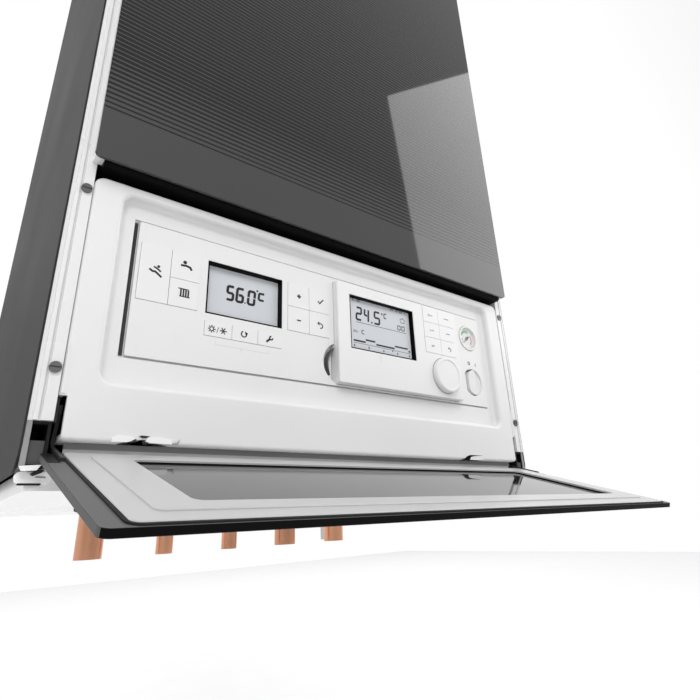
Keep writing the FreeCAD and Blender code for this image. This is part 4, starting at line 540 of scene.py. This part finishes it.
def figure(letter, x, z, wide, tall, thick):
    """One leaning figure from the lower left end of its lines."""
    shapes = []
    for path in FIGURES[letter]:
        points = [(x + wide * u + tall * v * LEAN, z + tall * v) for u, v in path]
        shapes += stroke(eased(points, thick * 0.45), thick)
    return shapes


def small_figures(text, x, z):
    """Row of small figures."""
    shapes = []
    for i, letter in enumerate(text):
        shapes += figure(letter, x + 2.0 * i, z, 1.1, 1.7, 0.45)
    return shapes


BOILER_FACE = 331.9
BOILER_ROW = 124.1
BOILER_TALL = 10.7
boiler_figures = bar(-93.8, 123.7, -92.7, 124.8) + disc(-83.3, 136.4, 0.85, 14)
for letter, x, wide in (("5", -108.0, 4.7), ("6", -100.3, 4.9), ("0", -90.9, 5.0)):
    boiler_figures += figure(letter, x, BOILER_ROW, wide, BOILER_TALL, 2.05)
boiler_figures += figure("C", -82.0, 129.4, 4.4, 5.5, 1.85)
printed("figures_boiler", boiler_figures, BOILER_FACE, lcd_ink)

# Module display: plate on the floor of the black tray
LCD_FACE = 338.8
LCD_THICK = 0.15
LCD_PRINT = LCD_FACE + LCD_THICK
LARGE_ROW = 130.1
LARGE_TALL = 11.2
DAY_HALF = 0.75
DAY_LINE = [
    (4.1, 17.2, 110.5),
    (17.5, 28.2, 112.7),
    (29.1, 50.7, 110.4),
    (51.3, 67.2, 112.6),
    (67.9, 70.0, 110.3),
]
lcd_plate = bar(-0.2, 103.0, 71.6, 149.1)
printed("module_lcd", lcd_plate, LCD_FACE, lcd_back, thick=LCD_THICK)
large = bar(24.6, 129.3, 26.2, 130.9) + circle(37.9, 140.8, 0.75, 0.6, 12) + disc(48.2, 107.5, 0.7, 10)
for letter, x, wide in (("2", 8.1, 5.2), ("4", 17.1, 4.3), ("5", 28.5, 5.7)):
    large += figure(letter, x, LARGE_ROW, wide, LARGE_TALL, 1.9)
large += figure("C", 40.3, 137.5, 2.8, 4.3, 1.0)
for x0, x1, z in DAY_LINE:
    large += bar(x0, z - DAY_HALF, x1, z + DAY_HALF)
printed("figures_module", large, LCD_PRINT, lcd_ink)
TOP_ROW = 146.9
LOW_ROW = 118.0
small = bar(8.0, 127.4, 67.0, 127.9) + bar(4.0, 108.3, 70.0, 108.7)
for x in (4.8, 20.7, 37.6, 54.1, 68.6):
    small += bar(x - 0.6, 105.0, x + 0.6, 107.0)
for text, x in (("21", 4.4), ("30", 9.2), ("24", 48.8), ("10", 54.4), ("26", 60.0), ("1", 65.4)):
    small += small_figures(text, x, TOP_ROW)
for text, x in (("05", 4.5), ("1", 8.0)):
    small += small_figures(text, x, LOW_ROW)
small += figure("0", 56.4, 129.6, 3.2, 4.0, 0.95) + figure("0", 61.5, 129.6, 3.2, 4.0, 0.95)
small += stroke([(59.8, 139.6), (63.2, 142.0), (66.6, 139.6)], 0.7)
small += stroke([(61.0, 139.2), (61.0, 137.2), (65.4, 137.2), (65.4, 139.2)], 0.6)
small += stroke(arc(15.0, 119.3, 1.7, 60, 300, 12), 0.9)
printed("small_figures_module", small, LCD_PRINT, lcd_pale)


# Pressure gauge: dial plate, coloured bands, marks and figures, and a set hand

GAUGE = (159.0, 140.3)
DIAL = 334.3
DIAL_THICK = 0.1
DIAL_PRINT = DIAL + DIAL_THICK
dial = disc(*GAUGE, 10.4, 48)
printed("gauge_dial", dial, DIAL, dial_white, thick=DIAL_THICK)


def band(radius, width, start, end):
    return stroke(arc(*GAUGE, radius, start, end, 18), width)


printed("gauge_green", band(7.9, 2.4, 160, 62), DIAL_PRINT, dial_green)
red_bands = band(7.9, 1.9, 30, -45) + band(6.6, 1.5, 218, 178)
printed("gauge_red", red_bands, DIAL_PRINT, dial_red)
ticks = []
for step in range(9):
    angle = 225.0 - 33.75 * step
    ticks += stroke([polar(*GAUGE, 9.2, angle), polar(*GAUGE, 10.1, angle)], 0.3)
for digit in range(5):
    x, z = polar(*GAUGE, 5.0, 225.0 - 67.5 * digit)
    ticks += figure(str(digit), x - 0.5, z - 0.8, 0.9, 1.6, 0.3)
printed("gauge_marks", ticks, DIAL_PRINT, faint_ink)
SET_HAND = 33.0
SET_HAND_SPREAD = 55
hand = [
    polar(*GAUGE, 2.4, SET_HAND + SET_HAND_SPREAD),
    polar(*GAUGE, 2.4, SET_HAND - SET_HAND_SPREAD),
    polar(*GAUGE, 7.0, SET_HAND),
]
printed("gauge_set_hand", [hand], DIAL_PRINT, ink)


# Small parts round the fascia

# Dark strip in the gap at the insert's left end: painted shade in the gap
strip = [(-177.5, 0.0), (-174.8, 0.0), (-175.1, 0.5), (-177.2, 0.5)]
built("insert_gap_shade", [strip], lambda x, rise, z: spot(x, INSERT_SEAT + rise, z), 69.8, 163.7, gap_shade_dark)

# Apron that closes the casing between tray and fascia, with a dark band along its top that is painted
# shade in the gap under the fascia
APRON_HALF = 199.0
APRON_BACK = 334.05
APRON_FRONT = 335.3
SHADE_BAND_FRONT = 336.4
apron = bar(-APRON_HALF, -2.0, APRON_HALF, 15.8)
built("lower_apron", apron, facing, APRON_BACK, APRON_FRONT, apron_grey)
shade_band = bar(-APRON_HALF, 12.6, APRON_HALF, 15.9)
built("apron_shade_band", shade_band, facing, APRON_FRONT - SINK, SHADE_BAND_FRONT, shade_band_grey)

# Dark crescent in the finger notch beside the module: painted shade under the notch's left rim
NOTCH_FLOOR = 331.7
NOTCH_SHADE_FRONT = 336.2
notch_shade_outer = [(-14.6, 101.0), (-17.3, 98.8), (-19.9, 95.5), (-21.5, 92.0)]
notch_shade_outer += [(-22.0, 88.4), (-21.7, 84.4), (-20.7, 80.4), (-19.2, 77.6)]
notch_shade_inner = [(-19.9, 80.8), (-20.6, 84.5), (-20.6, 88.6), (-19.9, 92.2), (-18.1, 96.0), (-15.8, 99.1)]
built("finger_notch_shade", [notch_shade_outer + notch_shade_inner], facing, NOTCH_FLOOR - SINK, NOTCH_SHADE_FRONT, block_grey)

# Dark ring round the knob's foot, a painted shadow under the knob, and white linings that close the
# slots beside the power rocker
KNOB = (110.5, 92.2)
printed("knob_shadow_ring", circle(*KNOB, 17.1, 0.55, 40), BORDER, soft_ink)
ROCKER = (159.0, 93.3)
LINING_BACK = 333.4
LINING_FRONT = 334.45
linings = [shape for side in (-1.0, 1.0) for shape in bar(side * 8.15, -11.8, side * 8.95, 11.8)]
linings = shifted(linings, *ROCKER)
built("rocker_linings", linings, facing, LINING_BACK, LINING_FRONT, white_plastic)

# Left clip: two white tongues, a dark spring between them and a hook
left_tongue = [(-177.2, 16.4), (-168.6, 16.6), (-166.2, 17.5), (-164.4, 18.8)]
left_tongue += [(-167.5, 20.0), (-174.0, 20.4), (-177.0, 18.7)]
right_tongue = [(-156.0, 16.7), (-143.1, 16.4), (-143.2, 19.4)]
right_tongue += [(-150.5, 20.2), (-157.4, 19.9), (-158.5, 17.4)]
tongues = [left_tongue, right_tongue]
built("clip_tongues", tongues, facing, BORDER - 1.2, BORDER + 0.7, lightened_white_plastic)
spring = [
    [(-162.4, 20.2), (-160.4, 19.2), (-157.9, 19.5), (-156.2, 20.5), (-160.8, 20.8)],
    [(-166.0, 17.3), (-164.0, 17.2), (-163.4, 18.2), (-164.2, 18.6)],
    [(-160.3, 17.2), (-158.6, 15.8), (-157.5, 15.7), (-158.7, 17.2), (-159.6, 18.0)],
]
built("clip_spring", spring, facing, BORDER - 1.0, BORDER + 0.4, black_paint)
hook = [(-142.7, 16.5), (-139.3, 16.3), (-138.4, 19.6), (-140.0, 17.6), (-142.6, 17.0)]
built("clip_hook", [hook], facing, BORDER - 1.0, BORDER + 0.6, zinc_steel)

# Right clip: dark catch and line over a white lip that fills the notch
catch = [(123.2, 15.6), (128.2, 18.9), (132.6, 20.0), (150.8, 20.1)]
catch += [(138.0, 19.2), (133.0, 18.2), (131.4, 15.8)]
built("clip_catch", [catch], facing, BORDER - 1.0, BORDER + 0.3, trim_black)
lip = [(131.6, 15.8), (133.2, 18.1), (138.0, 19.1), (149.0, 19.9), (152.0, 16.6), (145.0, 15.9)]
built("clip_lip", [lip], facing, BORDER - 1.0, BORDER + 0.25, white_plastic)


# On both sides: hinge cover on the fascia's edge; strip, foot and block of the corner guard; tab with
# groove, slot and stop on the tray, the groove and the slot being dark marks that paint the shade in
# them

def sided(points, side):
    """Shape of the right side, or mirrored for the left one."""
    return [[(side * x, z) for x, z in points]]


SIDES = (("left", -1.0), ("right", 1.0))
GUARD_FRONT = 340.0
BLOCK_BACK = 336.0
BLOCK_FRONT = 338.6
COVER = [(205.9, 41.2), (203.4, 41.2), (203.9, 55.0), (205.2, 68.0), (205.9, 68.0)]
STRIP = [(216.1, 2.9), (218.8, 2.9), (218.8, 26.0), (216.1, 26.0)]
FOOT = [(218.8, 2.7), (208.6, 3.4), (210.6, 0.6), (217.1, 0.3)]
BLOCK = [(208.7, 2.4), (215.9, 2.4), (215.9, 15.9), (208.7, 15.9)]
TAB = rounded((202.2, 219.2, -5.6, 0.4), 0.0, 2.6)
GROOVE = [(204.8, -2.7), (210.0, -2.5), (209.6, -1.7), (205.2, -1.9)]
SLOT = rounded((206.7, 217.4, -6.3, -5.3), 0.0, 0.5)
STOP = [(212.6, -0.9), (210.6, 0.9), (207.1, 1.2), (207.3, -0.1), (211.1, -1.8)]
SIDE_PARTS = [
    ("hinge_cover", COVER, BORDER - 1.0, BORDER + 0.45, white_paint, "white_paint"),
    ("guard_strip", STRIP, GUARD_FRONT - SINK, GUARD_FRONT + 0.7, strip_grey, "grey_plastic"),
    ("guard_foot", FOOT, GUARD_FRONT - 1.0, GUARD_FRONT + 1.0, lightened_white_plastic, "white_paint"),
    ("guard_block", BLOCK, BLOCK_BACK, BLOCK_FRONT, block_grey, "dark_paint"),
    ("tray_tab", TAB, TRAY_FRONT - SINK, TRAY_FRONT + 1.4, lightened_white_plastic, "white_paint"),
    ("tray_groove_shade", GROOVE, TRAY_FRONT, TRAY_FRONT + 1.45, soft_ink, "grey_plastic"),
    ("tray_slot_shade", SLOT, TRAY_FRONT - SINK, TRAY_FRONT + 1.5, rubber, "black_plastic"),
    ("tray_stop", STOP, TRAY_FRONT, GUARD_FRONT + 0.6, rubber, "black_plastic"),
]
for side_name, side in SIDES:
    for name, points, low, high, material, slot_name in SIDE_PARTS:
        shapes = sided(points, side)
        built(name + "_" + side_name, shapes, facing, low, high, material)


# Rubber grommets round the pipes under the tray, pan head screws on the flue flange and the top panel

def standing(x, depth, z):
    """Drawing on a level face round a middle, its level the height above that face."""
    return lambda u, v, rise: spot(x + u, depth + v, z + rise)


TRAY_LOW = -9.0
PIPE_DEPTH = 130.0
PIPES = [(-130.0, 11.0), (-65.0, 7.5), (0.0, 7.5), (65.0, 11.0), (130.0, 11.0)]
CONDENSATE = (178.0, 56.0, 12.0)
GROMMET_FIT = 0.05
GROMMET_LIP = [(5.0, 0.0), (4.6, -1.6), (3.0, -2.6)]
grommets = bmesh.new()
for x, depth, radius in [(x, PIPE_DEPTH, radius) for x, radius in PIPES] + [CONDENSATE]:
    profile = [(radius + GROMMET_FIT, 0.0)]
    profile += [(radius + wide, rise) for wide, rise in GROMMET_LIP]
    profile += [(radius + GROMMET_FIT, GROMMET_LIP[-1][1])]
    turned(grommets, profile, standing(x, depth, TRAY_LOW), looped=True)
piece_from(grommets, "pipe_grommets", rubber, "casing")

FLUE = (138.0, 140.0)
FLANGE_THICK = 3.0
FLANGE_SCREWS = 67.5
HEAD = [(1.6, 2.2), (2.8, 1.9), (3.6, 1.1), (3.8, 0.0), (3.8, -SINK)]
HEAD_TALL = HEAD[0][1]
RECESS_FLOOR = 2.1
CROSS = bar(-1.3, -0.35, 1.3, 0.35) + bar(-0.35, 0.36, 0.35, 1.3) + bar(-0.35, -1.3, 0.35, -0.36)
top_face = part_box("top_panel")[1].z * 1000.0 + HANG
screw_places = []
for i in range(4):
    x, depth = polar(*FLUE, FLANGE_SCREWS, 45.0 + 90.0 * i)
    screw_places.append((x, depth, top_face + FLANGE_THICK))
screw_places += [(x, depth, top_face) for x in (-205.0, -60.0) for depth in (22.0, 300.0)]
pan_heads = bmesh.new()
# The cross recesses are black crosses laid on the heads: painted shade in the recesses.
recess_shades = bmesh.new()
for screw in screw_places:
    turned(pan_heads, HEAD, standing(*screw))
    for shape in CROSS:
        solid(recess_shades, shape, standing(*screw), RECESS_FLOOR, HEAD_TALL + SINK)
piece_from(pan_heads, "pan_head_screws", zinc_steel, "casing")
piece_from(recess_shades, "screw_recess_shades", ink, "casing")


# Linings of the flap: black lining on the walls of the frame's opening, painted shade along the
# opening's edge; black ring round the frame's foot, painted shade; printed border and edging of the
# glass, black caps where the arms join it

def lining(name, shapes, lift, material):
    """Thin piece on the inner face of the flap's plate."""
    return built(name, shapes, on_flap, PLATE_BACK - lift, PLATE_BACK + SINK, material, "flap")


opening_shade = (rounded(WELL, -0.05, WELL_CORNER), rounded(WELL, -0.55, WELL_CORNER))
lining("flap_opening_shade", [opening_shade], 0.7, trim_black)
cap = rounded((204.9, 210.8, 18.6, 44.0), 0.0, 1.5)
for side_name, side in SIDES:
    lining("flap_cap_" + side_name, sided(cap, side), 0.3, black_plastic)
# Black ring round the frame's foot: painted shade in the crease between frame and plate.
frame_foot_shade = (rounded(FRAME, 1.55, PLATE_CORNER), rounded(FRAME, 0.05, PLATE_CORNER))
lining("flap_frame_foot_shade", [frame_foot_shade], 0.8, rubber)
border = (rounded(PLATE, -0.15, PLATE_CORNER), rounded(FRAME, 1.6, PLATE_CORNER))
lining("flap_border", [border], 0.1, plate_print)

# Six points lie on each corner of the rim: front right, front left, hinge left, hinge right
RIM_THICK = 0.14
RIM_FRONT = PLATE_FRONT - 0.2
rim = rounded(PLATE, 0.05, PLATE_CORNER)
# The front edging is coloured much darker than the side edging: painted shade on the edge that faces
# down and forward.
shaded_front_rim = stroke(rim[2:10], RIM_THICK)
built("flap_front_edging_shade", shaded_front_rim, on_flap, PLATE_BACK, RIM_FRONT, trim_black, "flap")
side_rims = stroke(rim[9:15], RIM_THICK) + stroke(rim[21:24] + rim[:3], RIM_THICK)
built("flap_side_edging", side_rims, on_flap, PLATE_BACK, RIM_FRONT, block_grey, "flap")


# Camera at the photograph's place

FOCAL_PX = 524.0
FRAME_PX = 700.0
SENSOR = 36.0
YAW, PITCH, ROLL = 0.710, 0.381, -0.055
CENTRE_PX = (367.3, 312.7)
forward = Vector((math.sin(YAW) * math.cos(PITCH), math.cos(YAW) * math.cos(PITCH), math.sin(PITCH)))
level_right = Vector((math.cos(YAW), -math.sin(YAW), 0.0))
level_up = level_right.cross(forward)
right = math.cos(ROLL) * level_right + math.sin(ROLL) * level_up
up = -math.sin(ROLL) * level_right + math.cos(ROLL) * level_up
eye = spot(-258.7, 664.2, -33.1)
lens = bpy.data.cameras.new("camera")
lens.sensor_width = SENSOR
lens.lens = FOCAL_PX / FRAME_PX * SENSOR
lens.shift_x = (FRAME_PX / 2 - CENTRE_PX[0]) / FRAME_PX
lens.shift_y = (CENTRE_PX[1] - FRAME_PX / 2) / FRAME_PX
lens.clip_start = 0.01
camera = bpy.data.objects.new("camera", lens)
bpy.context.scene.collection.objects.link(camera)
turn = Matrix((right, up, -forward)).transposed().to_4x4()
camera.matrix_world = Matrix.Translation(eye) @ turn
bpy.context.scene.camera = camera


# Studio: pale floor, white surround that is dimmer in front, and soft lights

def area_light(name, place, axes, size, power, mirrored=True):
    """Rectangular light; its axes are its width, its height and the way back from it.

    Shiny faces show its image only where it is mirrored.
    """
    data = bpy.data.lights.new(name, "AREA")
    data.shape = "RECTANGLE"
    data.size, data.size_y = size
    data.energy = power
    light = bpy.data.objects.new(name, data)
    light.matrix_world = Matrix.Translation(place) @ Matrix(axes).transposed().to_4x4()
    light.visible_camera = False
    light.visible_glossy = mirrored
    bpy.context.scene.collection.objects.link(light)


def aimed(place, target):
    """Axes of a light at a place that faces a target, with its width level."""
    back = (Vector(place) - Vector(target)).normalized()
    wide = Vector((0.0, 0.0, 1.0)).cross(back).normalized()
    return wide, back.cross(wide), back


world = bpy.data.worlds.new("studio")
world.use_nodes = True
backdrop = world.node_tree.nodes["Background"]
backdrop.inputs["Color"].default_value = (1.0, 1.0, 1.0, 1.0)
way = add_node(world, "ShaderNodeTexCoord", -900, 0)
split = add_node(world, "ShaderNodeSeparateXYZ", -700, 0)
wire(world, way.outputs["Generated"], split.inputs["Vector"])
wire(world, span(world, split.outputs["Y"], 0.57, 1.0, -0.5, 0.2), backdrop.inputs["Strength"])
bpy.context.scene.world = world
bpy.context.scene.view_settings.view_transform = "Standard"

FLOOR = -1.25
FLOOR_HALF = 6.0
floor_mesh = bmesh.new()
corners = bar(-FLOOR_HALF, -FLOOR_HALF, FLOOR_HALF, FLOOR_HALF)[0]
floor_mesh.faces.new([floor_mesh.verts.new((p.x, p.y, FLOOR)) for p in corners])
floor_data = bpy.data.meshes.new("floor")
floor_mesh.to_mesh(floor_data)
floor_mesh.free()
floor_data.materials.append(finish("floor_paint", grey(0.9), 0.8, 40.0, 0.00005, spread=0.01))
floor = bpy.data.objects.new("floor", floor_data)
bpy.context.scene.collection.objects.link(floor)

# The panel's left edge stands where the upper glass mirrors it as an upright line
PANEL_EDGE = Vector((2.379, -2.52, 1.4))
PANEL_SIZE = (1.8, 2.4)
panel_up = Vector((-0.124, 0.0, 0.992)).normalized()
panel_back = Vector((0.8, -0.6, 0.1)).normalized()
panel_wide = panel_up.cross(panel_back)
panel_place = PANEL_EDGE + panel_wide * PANEL_SIZE[0] / 2
area_light("side_panel_light", panel_place, (panel_wide, panel_up, panel_back), PANEL_SIZE, 30.0)
KEY_PLACE = (-1.0, -2.4, 1.3)
TARGET = (0.0, -0.3, -0.6)
area_light("key_light", KEY_PLACE, aimed(KEY_PLACE, TARGET), (1.4, 1.4), 42.0, mirrored=False)

# A wide light behind the boiler keeps the far floor as pale as the surround
LEVEL_AXES = (Vector((1.0, 0.0, 0.0)), Vector((0.0, 1.0, 0.0)), Vector((0.0, 0.0, 1.0)))
area_light("floor_light", (2.0, 3.2, 1.6), LEVEL_AXES, (9.0, 5.0), 60.0)
